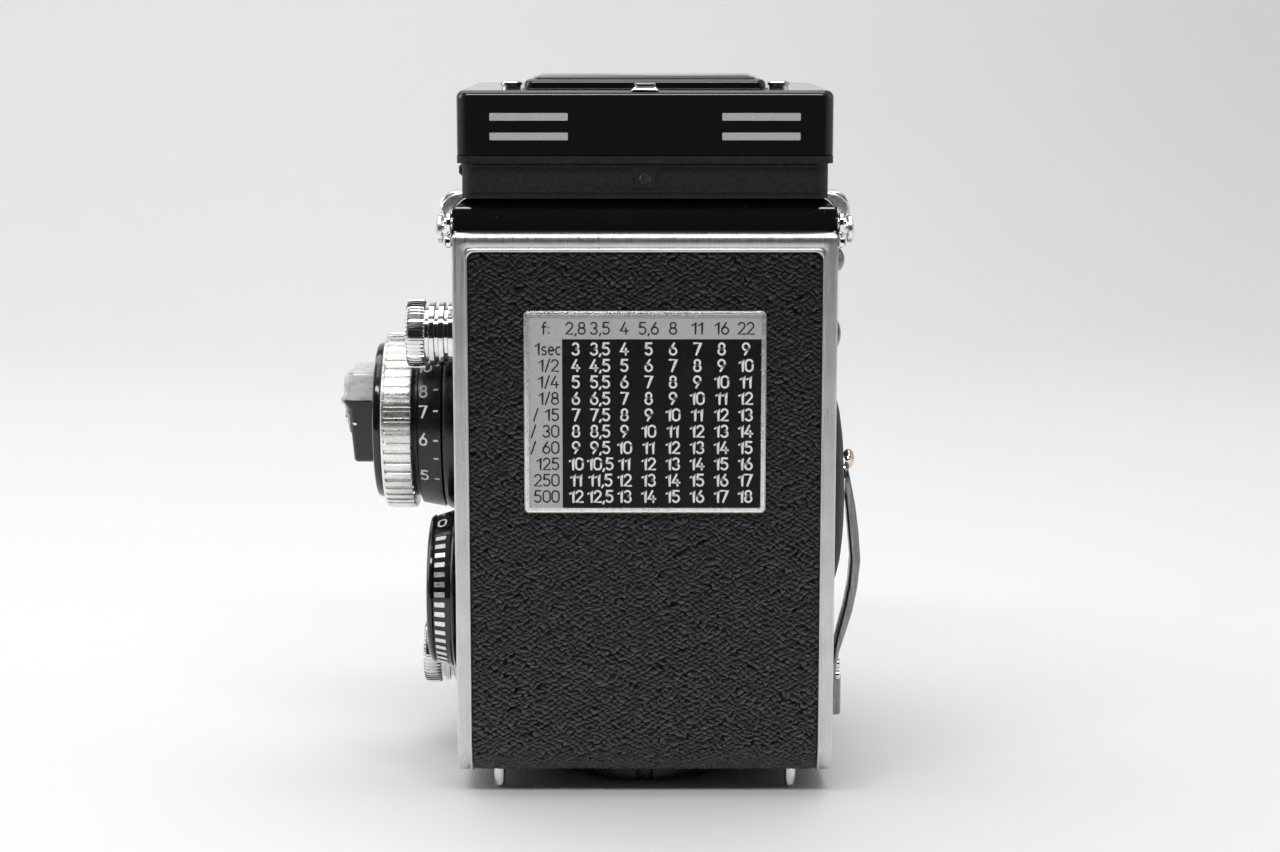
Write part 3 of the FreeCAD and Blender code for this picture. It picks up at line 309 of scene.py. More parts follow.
STEEL = plain_material("machined_steel", (0.5, 0.5, 0.5), 1.0, (1.0, 4.0, 0.42, 0.6),
                       (0.7, 3.0, 0.25, 0.4), (0.2, 0.005))
BRASS = plain_material("brass", (0.83, 0.62, 0.47), 1.0,
                       (0.7, 4.0, (0.74, 0.52, 0.38), (0.9, 0.72, 0.58)), (0.6, 3.0, 0.12, 0.25), (0.4, 0.004))
GREY = plain_material("grey_plate", (0.52, 0.52, 0.52), 0.35,
                      (0.25, 4.0, (0.47, 0.475, 0.48), (0.60, 0.605, 0.61)), (0.5, 3.0, 0.42, 0.6), (0.15, 0.004))
BRIGHT_EDGE = plain_material("bright_edge", (0.9, 0.9, 0.89), 1.0, (1.2, 4.0, 0.82, 0.94),
                             (1.0, 3.0, 0.18, 0.3), (0.3, 0.003))
BAR_METAL = plain_material("satin_bar", (0.55, 0.54, 0.52), 0.3,
                           (0.3, 4.0, (0.50, 0.49, 0.47), (0.62, 0.61, 0.585)), (0.8, 3.0, 0.4, 0.55), (0.2, 0.004))
BAR_BRIGHT = plain_material("bright_bar", (0.85, 0.85, 0.85), 0.85, (0.4, 3.0, 0.78, 0.9),
                            (0.5, 3.0, 0.25, 0.35), (0.2, 0.003))
WHITE = figure_paint("white_figures", (0.86, 0.86, 0.84))
BLACK_INK = figure_paint("black_figures", (0.02, 0.02, 0.02))
MILKY = milky_material()
CLEAR = glass_material("clear_window", (0.96, 0.98, 0.98))
COATED = coated_glass_material()

NODE_MATERIALS = {
    GLOSS: ["top_cover", "hood_lid", "crank_base_disc", "counter_window", "finder_flap", "film_speed_disc",
            "reminder_dial", "meter_housing"],
    WRINKLE: ["hood_base"],
    MATTE: ["body_casting", "door_panel", "pressure_plate", "hood_panel_right", "hood_panel_left",
            "hood_panel_rear", "magnifier_frame", "take_up_spool", "supply_spool"],
    SATIN_BLACK: ["latch_dial", "focus_index_collar", "distance_drum", "taking_lens_barrel",
                  "viewing_lens_barrel", "side_covers"],
    SATIN: ["door_frame", "exposure_plate", "front_standard", "meter_cell_housing"],
    KNURL: ["focus_ring", "aperture_wheel", "shutter_wheel"],
    CHROME: ["hinge_brackets", "lid_studs", "upper_spool_knob", "lower_spool_knob", "door_feet",
             "crank_hub", "lens_bayonets", "flash_socket", "release_button", "release_lock_ring",
             "timer_lever"],
    DARK_STEEL: ["crank_arm", "crank_handle", "shutter_blades"],
    STEEL: ["focus_shaft", "take_up_gear", "supply_spool_pivot", "tripod_bush", "lower_film_roller",
            "upper_film_roller"],
    LEATHER: ["side_leathers", "front_leather", "door_leather"],
    CLEAR: ["magnifier_lens", "meter_dome"],
    COATED: ["lens_elements"],
    mirror_material(): ["viewing_mirror"],
    screen_material(): ["focusing_screen"],
    cell_material(): ["meter_cell_window"],
}
for material, names in NODE_MATERIALS.items():
    for node_name in names:
        mesh = NODES[node_name].data
        mesh.materials.clear()
        mesh.materials.append(material)


# ---- mesh helpers -------------------------------------------------------
def new_mesh(name, verts, faces, material, body, replaced=(), smooth_deg=35.0, slot=None):
    """A piece from millimetre points. It rides on a body and may stand for CAD nodes."""
    mesh = bpy.data.meshes.new(name)
    mesh.from_pydata([(x * MM, y * MM, z * MM) for x, y, z in verts], [], faces)
    mesh.validate()
    shell = bmesh.new()
    shell.from_mesh(mesh)
    bmesh.ops.recalc_face_normals(shell, faces=shell.faces)
    shell.to_mesh(mesh)
    shell.free()
    mesh.materials.append(material)
    piece = bpy.data.objects.new(name, mesh)
    bpy.context.scene.collection.objects.link(piece)
    if smooth_deg:
        mesh.shade_smooth()
        mesh.set_sharp_from_angle(angle=math.radians(smooth_deg))
    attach(piece, body)
    if replaced:
        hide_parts(*replaced)
    return piece


def loft(rings, closed_path=False, capped=True):
    """Faces that join rings of points, each ring closed on itself."""
    count = len(rings[0])
    verts = [p for ring in rings for p in ring]
    faces = []
    pairs = len(rings) if closed_path else len(rings) - 1
    for i in range(pairs):
        a = i * count
        b = ((i + 1) % len(rings)) * count
        for k in range(count):
            n = (k + 1) % count
            faces.append((a + k, a + n, b + n, b + k))
    if capped and not closed_path:
        faces.append(tuple(reversed(range(count))))
        faces.append(tuple(range(len(verts) - count, len(verts))))
    return verts, faces


def joined(parts):
    """Several (verts, faces) lists as one."""
    verts, faces = [], []
    for more_verts, more_faces in parts:
        base = len(verts)
        verts.extend(more_verts)
        faces.extend(tuple(i + base for i in face) for face in more_faces)
    return verts, faces


def rounded_rect(half_a, half_b, radius, steps=8, centre=(0.0, 0.0)):
    """Corner-rounded rectangle as (a, b) points, anticlockwise."""
    points = []
    radius = max(radius, 0.01)
    corners = ((1, 1, 0), (-1, 1, 90), (-1, -1, 180), (1, -1, 270))
    for sa, sb, start in corners:
        ca = centre[0] + sa * (half_a - radius)
        cb = centre[1] + sb * (half_b - radius)
        for k in range(steps + 1):
            angle = math.radians(start + 90 * k / steps)
            points.append((ca + radius * math.cos(angle), cb + radius * math.sin(angle)))
    return points


def turned(profile, segments, place, closed_path=True):
    """A turned body. A profile point is (place along the axis line, radius)."""
    turns = [2 * math.pi * k / segments for k in range(segments)]
    rings = [[place(h, r * math.cos(a), r * math.sin(a)) for a in turns] for h, r in profile]
    return loft(rings, closed_path)


def turned_x(profile, y, z, segments):
    return turned(profile, segments, lambda h, a, b: (h, y + a, z + b))


def turned_y(profile, x, z, segments):
    return turned(profile, segments, lambda h, a, b: (x + a, h, z + b))


def turned_z(profile, x, y, segments):
    """A turned body with no bore: its first and last rings are closed."""
    return turned(profile, segments, lambda h, a, b: (x + a, y + b, h), closed_path=False)


def mirrored(shapes, sides=(1, -1)):
    """The shapes on the given sides of the middle plane, as one."""
    both = []
    for side in sides:
        both += [([(side * x, y, z) for x, y, z in verts], faces) for verts, faces in shapes]
    return joined(both)


def shifted(origin, points):
    """Outline or profile points given from an origin; a third value is kept."""
    return [(origin[0] + a, origin[1] + b, *rest) for a, b, *rest in points]


def box_mesh(low, high, bevel=0.2):
    """A box with bevelled edges along Z and at its top and bottom."""
    half = [(high[i] - low[i]) / 2 for i in range(3)]
    mid = [(high[i] + low[i]) / 2 for i in range(3)]
    rings = []
    for z, inset in ((low[2], bevel), (low[2] + bevel, 0), (high[2] - bevel, 0), (high[2], bevel)):
        flat = rounded_rect(half[0] - inset, half[1] - inset, bevel, 3, (mid[0], mid[1]))
        rings.append([(a, b, z) for a, b in flat])
    return loft(rings)


# ---- figures ------------------------------------------------------------
def bow(cx, cy, rx, ry, start, end, steps=10):
    """Points along part of an ellipse, in glyph units."""
    angles = [math.radians(start + (end - start) * k / steps) for k in range(steps + 1)]
    return [(cx + rx * math.cos(a), cy + ry * math.sin(a)) for a in angles]


GLYPHS = {
    "0": (0.60, [bow(0.3, 0.7, 0.3, 0.3, 0, 180) + bow(0.3, 0.3, 0.3, 0.3, 180, 360) + [(0.6, 0.7)]]),
    "1": (0.40, [[(0.02, 0.74), (0.32, 1.0), (0.32, 0.0)]]),
    "2": (0.58, [bow(0.28, 0.72, 0.27, 0.28, 165, -40) + [(0.0, 0.0), (0.58, 0.0)]]),
    "3": (0.58, [bow(0.27, 0.75, 0.25, 0.25, 150, -90) + bow(0.27, 0.25, 0.29, 0.26, 90, -155)]),
    "4": (0.62, [[(0.36, 1.0), (0.0, 0.27), (0.62, 0.27)], [(0.44, 0.52), (0.44, 0.0)]]),
    "5": (0.58, [[(0.53, 1.0), (0.09, 1.0), (0.06, 0.56)] + bow(0.27, 0.31, 0.29, 0.31, 125, -145)]),
    "6": (0.60, [[(0.40, 1.0), (0.07, 0.45)] + bow(0.3, 0.3, 0.29, 0.3, 150, -210, 16)]),
    "7": (0.58, [[(0.0, 1.0), (0.58, 1.0), (0.20, 0.0)]]),
    "8": (0.60, [bow(0.3, 0.76, 0.24, 0.24, -90, 270, 16), bow(0.3, 0.27, 0.29, 0.27, 90, 450, 16)]),
    "9": (0.60, [[(0.20, 0.0), (0.53, 0.55)] + bow(0.3, 0.7, 0.29, 0.3, -30, 330, 16)]),
    ",": (0.12, [[(0.10, 0.04), (0.02, -0.14)]]),
    "/": (0.36, [[(0.0, -0.04), (0.36, 1.04)]]),
    ":": (0.12, [[(0.06, 0.10), (0.06, 0.13)], [(0.06, 0.55), (0.06, 0.58)]]),
    "s": (0.40, [bow(0.21, 0.51, 0.18, 0.17, 50, 250, 8) + bow(0.2, 0.18, 0.19, 0.18, 70, -140, 8)]),
    "e": (0.46, [[(0.04, 0.36), (0.44, 0.36)] + bow(0.24, 0.34, 0.21, 0.34, 0, 310, 12)]),
    "c": (0.42, [bow(0.24, 0.34, 0.22, 0.34, 55, 305, 10)]),
    "f": (0.34, [bow(0.32, 0.80, 0.18, 0.2, 80, 180, 6) + [(0.14, 0.0)], [(0.0, 0.62), (0.32, 0.62)]]),
    " ": (0.30, []),
}
GLYPH_GAP = 0.17


def text_width(text, height):
    return height * (sum(GLYPHS[c][0] for c in text) + GLYPH_GAP * (len(text) - 1))


def stroke_solid(points, width, place, thickness):
    """One closed solid along a pen stroke with round ends, placed on a surface."""
    pts = [Vector(p) for p in points]
    left, right = [], []
    for i, p in enumerate(pts):
        before = pts[max(i - 1, 0)]
        after = pts[min(i + 1, len(pts) - 1)]
        along = (after - before).normalized()
        across = Vector((-along.y, along.x)) * width / 2
        if 0 < i < len(pts) - 1:
            first = (p - before).normalized()
            second = (after - p).normalized()
            across = across / max((1 + first.dot(second)) / 2, 0.35) ** 0.5
        left.append(p + across)
        right.append(p - across)

    def end_cap(centre, direction):
        start = math.atan2(direction.y, direction.x) + math.pi / 2
        angles = [start - math.pi * k / 6 for k in range(1, 6)]
        return [centre + Vector((math.cos(a), math.sin(a))) * width / 2 for a in angles]

    first_dir = (pts[0] - pts[1]).normalized()
    last_dir = (pts[-1] - pts[-2]).normalized()
    cap_end = end_cap(pts[-1], last_dir)
    cap_start = end_cap(pts[0], first_dir)
    n = len(pts)
    flat = left + cap_end + list(reversed(right)) + cap_start
    m = len(flat)
    verts = [place(p.x, p.y, 0.0) for p in flat] + [place(p.x, p.y, thickness) for p in flat]
    faces = []
    for i in range(n - 1):
        a, b = i, i + 1
        c, d = m - len(cap_start) - 1 - (i + 1), m - len(cap_start) - 1 - i
        faces.append((a + m, b + m, c + m, d + m))
        faces.append((d, c, b, a))
    for first, extra in ((n - 1, len(cap_end)), (m - len(cap_start) - 1, len(cap_start))):
        fan = [(first + k) % m for k in range(extra + 2)]
        faces.append(tuple(i + m for i in fan))
        faces.append(tuple(reversed(fan)))
    for i in range(m):
        j = (i + 1) % m
        faces.append((i, j, j + m, i + m))
    return verts, faces


def figures(entries, height, pen, thickness, to_surface):
    """Solids for texts given as (text, centre_a, base_b), on a surface map."""
    parts = []
    for text, centre, base in entries:
        cursor = centre - text_width(text, height) / 2
        for char in text:
            advance, strokes = GLYPHS[char]
            for stroke in strokes:
                points = [(cursor + a * height, base + b * height) for a, b in stroke]
                parts.append(stroke_solid(points, pen, to_surface, thickness))
            cursor += (advance + GLYPH_GAP) * height
    return joined(parts)


BACK_Y = mm_box("door_leather")[1].y
GROUND_Z = mm_box("door_feet")[0].z


# ---- back door ----------------------------------------------------------
leather_low, leather_high = mm_box("door_leather")
PLATE_LOW, PLATE_HIGH = mm_box("exposure_plate")
HALF_W = mm_box("top_cover")[1].x
DOOR_TOP = mm_box("top_cover")[0].z
DOOR_BOTTOM = leather_low.z
DOOR_FRONT = leather_low.y
CORNER_R = 9.0
STRIP = HALF_W - leather_high.x       # width of the bright side strip
BAND = DOOR_TOP - leather_high.z      # height of the bright top band
STRAIGHT = DOOR_TOP - DOOR_BOTTOM - CORNER_R
ARC = CORNER_R * math.pi / 2
DOOR_LENGTH = STRAIGHT + ARC + BACK_Y - CORNER_R - DOOR_FRONT


def door_point(x, s, h):
    """A point on the door: s runs down from its top edge and under, h stands off it."""
    if s <= STRAIGHT:
        return x, BACK_Y + h, DOOR_TOP - s
    if s <= STRAIGHT + ARC:
        angle = (s - STRAIGHT) / CORNER_R
        r = CORNER_R + h
        return x, BACK_Y - CORNER_R + r * math.cos(angle), DOOR_BOTTOM + CORNER_R - r * math.sin(angle)
    return x, BACK_Y - CORNER_R - (s - STRAIGHT - ARC), DOOR_BOTTOM - h


def door_stations(start, end, step):
    """Distances down the door with finer steps round the bend."""
    stops = [start, STRAIGHT, STRAIGHT + ARC, end]
    line = []
    for a, b, pitch in zip(stops, stops[1:], (step, min(step, 0.7), max(step, 0.5))):
        count = max(int(math.ceil((b - a) / pitch)), 1)
        line.extend(a + (b - a) * k / count for k in range(count))
    return line + [end]


FOLD_PITCH = 1.02             # from one fold to the next, across the folds
FOLD_ANGLE = 0.52             # slant of the folds, in radians
FOLD_EDGE = 0.66              # share of the pitch that rises; the rest drops
GRAIN_DEPTH = 0.34
LEATHER_STEP = 0.17           # spacing of the skin's points
LEATHER_SOLE = 0.85           # the skin's thickness below its highest grain
LEATHER_LIP = 0.02            # how far the skin runs under the bright frame
EDGE_ROLL = 1.2               # width of the rolled-down edge
EDGE_DROP = 0.30
UNDER_PLATE = -0.5            # height of the skin under the exposure table


def crease_family(x, s, angle, seed):
    """One family of slanting folds: its step height, 0 to 1, and its shadowed part."""
    across = s * math.cos(angle) + x * math.sin(angle)
    along = x * math.cos(angle) - s * math.sin(angle)
    drift = 0.55 * noise.noise((along / 4.0, across / 2.2, seed))
    jitter = 0.42 * noise.noise((along / 1.15, across / 0.9, seed + 5.0))
    phase = across / FOLD_PITCH + drift + jitter
    part = phase - math.floor(phase)
    strength = 0.85 + 0.7 * noise.noise((along / 1.8, across / 1.3, seed + 9.0))
    strength = min(max(strength, 0.45), 1.0)
    if part < FOLD_EDGE:
        rise = part / FOLD_EDGE
        return strength * rise ** 1.6, 0.0
    fall = (part - FOLD_EDGE) / (1 - FOLD_EDGE)
    return strength * (1 - fall * fall * (3 - 2 * fall)), strength * math.sin(math.pi * fall)


def leather_relief(x, s):
    """Height of the grain, small scales between two families of folds, and its colour value: painted shade in the
    folds' falls, painted light on the crests, a little random tone, and painted floor light that makes it lighter
    towards the bottom.
    """
    wobble = noise.noise_vector((x / 3.4, s / 2.8, 7.0))
    u = x + 0.8 * wobble.x
    v = s + 0.6 * wobble.y
    one, shade_one = crease_family(u, v, FOLD_ANGLE, 1.3)
    two, shade_two = crease_family(u, v, -FOLD_ANGLE, 6.1)
    fine = noise.noise((x / 0.55, s / 0.45, 3.0))
    shade = max(shade_one, shade_two)
    scale = min(one, two)
    # Painted light from the floor: the colour grows lighter down the door.
    painted_floor_light = 0.72 + 0.40 * s / STRAIGHT
    # Painted shade in the folds' falls and painted light on the crests, with a little random tone.
    painted_light_and_tone = painted_floor_light * ((1 - shade) * (0.25 + 0.75 * max(one, two)) + 0.12 * fine)
    return GRAIN_DEPTH * (0.7 * scale + 0.25 * (one + two) - 1.0) + 0.025 * fine, max(0.0, painted_light_and_tone)


def make_leather():
    half = leather_high.x + LEATHER_LIP
    start = BAND - LEATHER_LIP
    columns = int(2 * half / LEATHER_STEP)
    stations = door_stations(start, DOOR_LENGTH - LEATHER_LIP, LEATHER_STEP)
    rings = []
    grain_tone_and_painted_shade = []
    for s in stations:
        ring = []
        for k in range(columns + 1):
            x = -half + 2 * half * k / columns
            edge = min(half - abs(x), s - start, EDGE_ROLL) / EDGE_ROLL
            height, shade = leather_relief(x, s)
            covered = abs(x) < PLATE_HIGH.x and PLATE_LOW.z < DOOR_TOP - s < PLATE_HIGH.z
            h = UNDER_PLATE if covered else height - EDGE_DROP * (1 - edge) ** 2
            ring.append(door_point(x, s, min(h, 0.02)))
            grain_tone_and_painted_shade.append(shade)
        ring.append(door_point(half, s, -LEATHER_SOLE))
        ring.append(door_point(-half, s, -LEATHER_SOLE))
        grain_tone_and_painted_shade.extend((0.5, 0.5))
        rings.append(ring)
    verts, faces = loft(rings)
    piece = new_mesh("back_leather", verts, faces, LEATHER_FINE, "back_door", ["door_leather"], 80, "leather")
    # The attribute carries the grain's painted shade and painted light into the material.
    shades = piece.data.attributes.new("grain_tone_and_painted_shade", "FLOAT", "POINT")
    shades.data.foreach_set("value", grain_tone_and_painted_shade)


DOOR_PIN = (28.5, 118.0)      # y, z of the door's hinge pin

# (share of the strip's width from its outer edge, height at the sides, height at the top)
FRAME_SECTION = [
    (0.0, -2.2, -2.2), (0.0, -0.7, -1.25), (0.012, -0.4, -1.0), (0.045, -0.2, -0.72), (0.10, -0.07, -0.46),
    (0.175, 0.0, -0.25), (0.27, 0.03, -0.09), (0.38, 0.04, 0.01), (0.50, 0.04, 0.04), (0.62, 0.0, 0.0),
    (0.73, -0.08, -0.08), (0.79, -0.12, -0.12), (0.82, -0.03, -0.03), (0.86, 0.10, 0.10), (0.91, 0.13, 0.13),
    (0.955, 0.09, 0.09), (0.99, -0.08, -0.08), (1.0, -0.3, -0.3), (1.0, -2.2, -2.2)]


def make_door_frame():
    """The bright frame: one strip down each side and a wider band across the top."""
    steps = 10
    down = door_stations(6.0, DOOR_LENGTH, 2.0)
    rings = []
    for station in reversed(down):
        rings.append([door_point(HALF_W - STRIP * u, station, h) for u, h, _ in FRAME_SECTION])
    for side in (1, -1):
        angles = [math.radians(90 * k / steps) for k in range(steps + 1)]
        if side < 0:
            angles.reverse()
        for a in angles:
            ring = []
            blend = math.sin(a) ** 2
            for u, flank, crest in FRAME_SECTION:
                radius = 0.9 + 0.7 * u
                x = HALF_W - STRIP * u - radius + radius * math.cos(a)
                s = BAND * u + radius - radius * math.sin(a)
                ring.append(door_point(side * x, s, flank + (crest - flank) * blend))
            rings.append(ring)
    for station in down:
        rings.append([door_point(-HALF_W + STRIP * u, station, h) for u, h, _ in FRAME_SECTION])
    strips = loft(rings)
    new_mesh("back_frame", *strips, SATIN, "back_door", ["door_frame"], 50, "satin_metal")
    barrel = [(38.55, 1.3), (38.55, 2.0), (38.7, 2.2), (39.3, 2.2), (39.45, 2.0), (39.45, 1.3)]
    arm = box_mesh((38.45, 27.7, 113.2), (39.9, 29.9, 115.4), 0.4)
    web = box_mesh((38.5, 28.0, 115.0), (39.2, 29.4, 116.4), 0.2)
    ears = mirrored([arm, web, turned_x(barrel, *DOOR_PIN, 32)])
    new_mesh("door_ears", *ears, CHROME, "back_door", (), 50, "chrome")


# ---- exposure table -----------------------------------------------------
COLUMNS = ["2,8", "3,5", "4", "5,6", "8", "11", "16", "22"]
TIMES = ["1sec", "1/2", "1/4", "1/8", "/ 15", "/ 30", "/ 60", "125", "250", "500"]
FIRST_ROW = ["3", "3,5", "4", "5", "6", "7", "8", "9"]
PLATE_RIM = 1.12
COLUMN_PITCH = 4.86
FIRST_COLUMN = -13.84         # from the plate's middle, to the viewer's right
ROW_PITCH = 3.33
HEADER_H = 4.62
TIME_W = 6.55
FIGURE_H = 2.28
FIGURE_PEN = 0.40
LABEL_H = 2.32
LABEL_PEN = 0.31


def frame_ring(half_a, half_b, centre, radius, section, steps=6):
    """A closed frame: the section's points are (inset, height) from its outer edge."""
    base = rounded_rect(half_a, half_b, radius, steps, centre)
    rings = [[] for _ in base]
    for inset, height in section:
        line = rounded_rect(half_a - inset, half_b - inset, max(radius - inset, 0.05), steps, centre)
        for i, (a, b) in enumerate(line):
            rings[i].append((a, height, b))
    return loft(rings, closed_path=True)


def make_exposure_table():
    mid_z = (PLATE_LOW.z + PLATE_HIGH.z) / 2
    half_x = PLATE_HIGH.x
    half_z = (PLATE_HIGH.z - PLATE_LOW.z) / 2
    floor = PLATE_LOW.y + 0.42
    top = PLATE_HIGH.y
    sunk = BACK_Y - 0.5
    rim = [(0.0, sunk), (0.0, top - 0.35), (0.10, top - 0.10), (0.22, top), (0.46, top), (0.56, top - 0.16),
           (0.62, top - 0.16), (0.70, top - 0.02), (0.92, top - 0.02), (PLATE_RIM, floor + 0.02),
           (PLATE_RIM, sunk)]
    verts, faces = frame_ring(half_x, half_z, (0.0, mid_z), 0.7, rim)
    new_mesh("table_rim", verts, faces, BRIGHT_EDGE, "back_door", ["exposure_plate"], 40, "satin_metal")
    line = [(-0.16, BACK_Y - 0.4), (-0.16, top - 0.52), (-0.08, top - 0.42), (0.05, top - 0.42),
            (0.05, BACK_Y - 0.4)]
    verts, faces = frame_ring(half_x, half_z, (0.0, mid_z), 0.8, line)
    new_mesh("table_brass_line", verts, faces, BRASS, "back_door", (), 40, "satin_metal")
    inner_x = half_x - PLATE_RIM + 0.05
    inner_z = half_z - PLATE_RIM + 0.05
    plate_top = mid_z + inner_z
    split_z = plate_top - HEADER_H
    split_x = inner_x - TIME_W
    field = box_mesh((-inner_x, sunk, mid_z - inner_z), (split_x, floor, split_z), 0.02)
    header = box_mesh((-inner_x, sunk, split_z), (inner_x, floor + 0.04, plate_top), 0.02)
    times = box_mesh((split_x, sunk, mid_z - inner_z), (inner_x, floor + 0.04, split_z), 0.02)
    new_mesh("table_field", *field, TABLE_BLACK, "back_door", (), 30, "gloss_paint")
    new_mesh("table_margins", *joined([header, times]), GREY, "back_door", (), 30, "satin_metal")

    def on_field(a, b, h):
        return -a, floor + h, b

    def on_margin(a, b, h):
        return -a, floor + 0.035 + h, b

    first_z = split_z - 1.95
    numbers = []
    for row in range(len(TIMES)):
        base = first_z - row * ROW_PITCH - FIGURE_H / 2
        for column, text in enumerate(FIRST_ROW):
            whole, _, half = text.partition(",")
            value = str(int(whole) + row) + ("," + half if half else "")
            numbers.append((value, FIRST_COLUMN + column * COLUMN_PITCH, base))
    verts, faces = figures(numbers, FIGURE_H, FIGURE_PEN, 0.05, on_field)
    new_mesh("table_numbers", verts, faces, WHITE, "back_door", (), 0, "clear")
    label_base = plate_top - 0.62 * HEADER_H - LABEL_H / 2 + 0.45
    labels = [("f:", FIRST_COLUMN - 6.0, label_base)]
    for column, text in enumerate(COLUMNS):
        labels.append((text, FIRST_COLUMN + column * COLUMN_PITCH, label_base))
    right_edge = -split_x - 0.75
    for row, text in enumerate(TIMES):
        width = text_width(text, LABEL_H)
        edge = right_edge + (0.45 if row == 0 else 0.0)
        labels.append((text, edge - width / 2, first_z - row * ROW_PITCH - LABEL_H / 2))
    verts, faces = figures(labels, LABEL_H, LABEL_PEN, 0.04, on_margin)
    new_mesh("table_labels", verts, faces, BLACK_INK, "back_door", (), 0, "clear")


# ---- hood ---------------------------------------------------------------
def plate_prism(outline, to_space, base, top, bevel):
    """A plate with a bevelled upper edge, from an anticlockwise outline."""
    count = len(outline)
    inner = []
    for i, point in enumerate(outline):
        here = Vector(point)
        before, after = Vector(outline[i - 1]), Vector(outline[(i + 1) % count])
        one = (here - before).normalized()
        two = (after - here).normalized()
        normal = Vector((-one.y - two.y, one.x + two.x))
        normal = normal / max(normal.length_squared / 2, 0.3)
        inner.append(tuple(here + normal * bevel))
    rings = [[to_space(a, b, base) for a, b in outline], [to_space(a, b, top - bevel) for a, b in outline],
             [to_space(a, b, top) for a, b in inner]]
    return loft(rings)


def arc_points(ca, cb, radius, start, end, steps=6):
    angles = [math.radians(start + (end - start) * k / steps) for k in range(steps + 1)]
    return [(ca + radius * math.cos(a), cb + radius * math.sin(a)) for a in angles]


BAR_HALF = (7.75, 0.74)       # half the length and height of a bright bar
BAR_X = 23.05
BAR_TOPS = (4.45, 8.3)        # upper edges of the bars below the lid's top
LID_STUD = (27.3, 10.0)


def make_hood_trim():
    base_low, base_high = mm_box("hood_base")
    lid_low, lid_high = mm_box("hood_lid")
    skirt_y = base_high.y - 1.2
    flange_z = lid_low.z - 1.7
    foot_z = base_low.z

    def on_rear(a, b, h):
        return -a, skirt_y + h, b

    def on_lid(a, b, h):
        return -a, lid_high.y + h, b

    half = 34.6
    tab = 2.15                # half the width of the gap for the screw
    low = foot_z + 1.9
    band = flange_z - 0.75
    fillet, corner = 1.5, 0.5
    outline = [(-half, flange_z), (-half, band)]
    outline += arc_points(-tab - fillet, band - fillet, fillet, 90, 0)
    outline += arc_points(-tab + corner, low + corner, corner, 180, 270)
    outline += arc_points(tab - corner, low + corner, corner, 270, 360)
    outline += arc_points(tab + fillet, band - fillet, fillet, 180, 90)
    outline += [(half, band), (half, flange_z)]
    relief = [plate_prism(outline, on_rear, -0.2, 0.42, 0.22)]
    reach = half + 0.4
    for z, out in ((foot_z + 1.62, 0.22), (foot_z + 0.42, 0.35)):
        line = [(-reach, z - 0.42), (reach, z - 0.42), (reach, z + 0.12), (-reach, z + 0.12)]
        relief.append(plate_prism(line, on_rear, -0.2, out, 0.12))
    new_mesh("hood_rear_relief", *joined(relief), WRINKLE, "body", (), 40, "wrinkle_paint")
    screw_z = low + 2.15
    head = shifted((skirt_y, 0.0), [(0.3, 0.01), (0.3, 1.12), (0.55, 1.12), (0.55, 0.01)])
    screw = [turned_y(head, 0.0, screw_z, 32)]
    slot = math.radians(35)
    for turn in (0, 180):
        flat = arc_points(0, 0, 1.08, 12 + turn, 168 + turn, 12)
        spun = [(a * math.cos(slot) - b * math.sin(slot), screw_z + a * math.sin(slot) + b * math.cos(slot))
                for a, b in flat]
        screw.append(plate_prism(spun, on_rear, 0.5, 0.85, 0.12))
    new_mesh("hood_screw", *joined(screw), DARK_STEEL, "body", (), 40, "chrome")
    bars = []
    for side in (-1, 1):
        for drop in BAR_TOPS:
            middle = (side * BAR_X, lid_high.z - drop - BAR_HALF[1])
            flat = [(-a, b) for a, b in rounded_rect(*BAR_HALF, 0.18, 3, middle)]
            flat.reverse()
            bars.append(plate_prism(flat, on_lid, -0.2, 0.07, 0.03))
    new_mesh("lid_bars", *joined(bars), BAR_METAL, "lid", (), 40, "satin_metal")
    catch = box_mesh((36.4, 9.0, 126.6), (37.9, 15.0, 129.0), 0.5)
    new_mesh("hood_catch", *catch, WRINKLE, "body", (), 40, "wrinkle_paint")


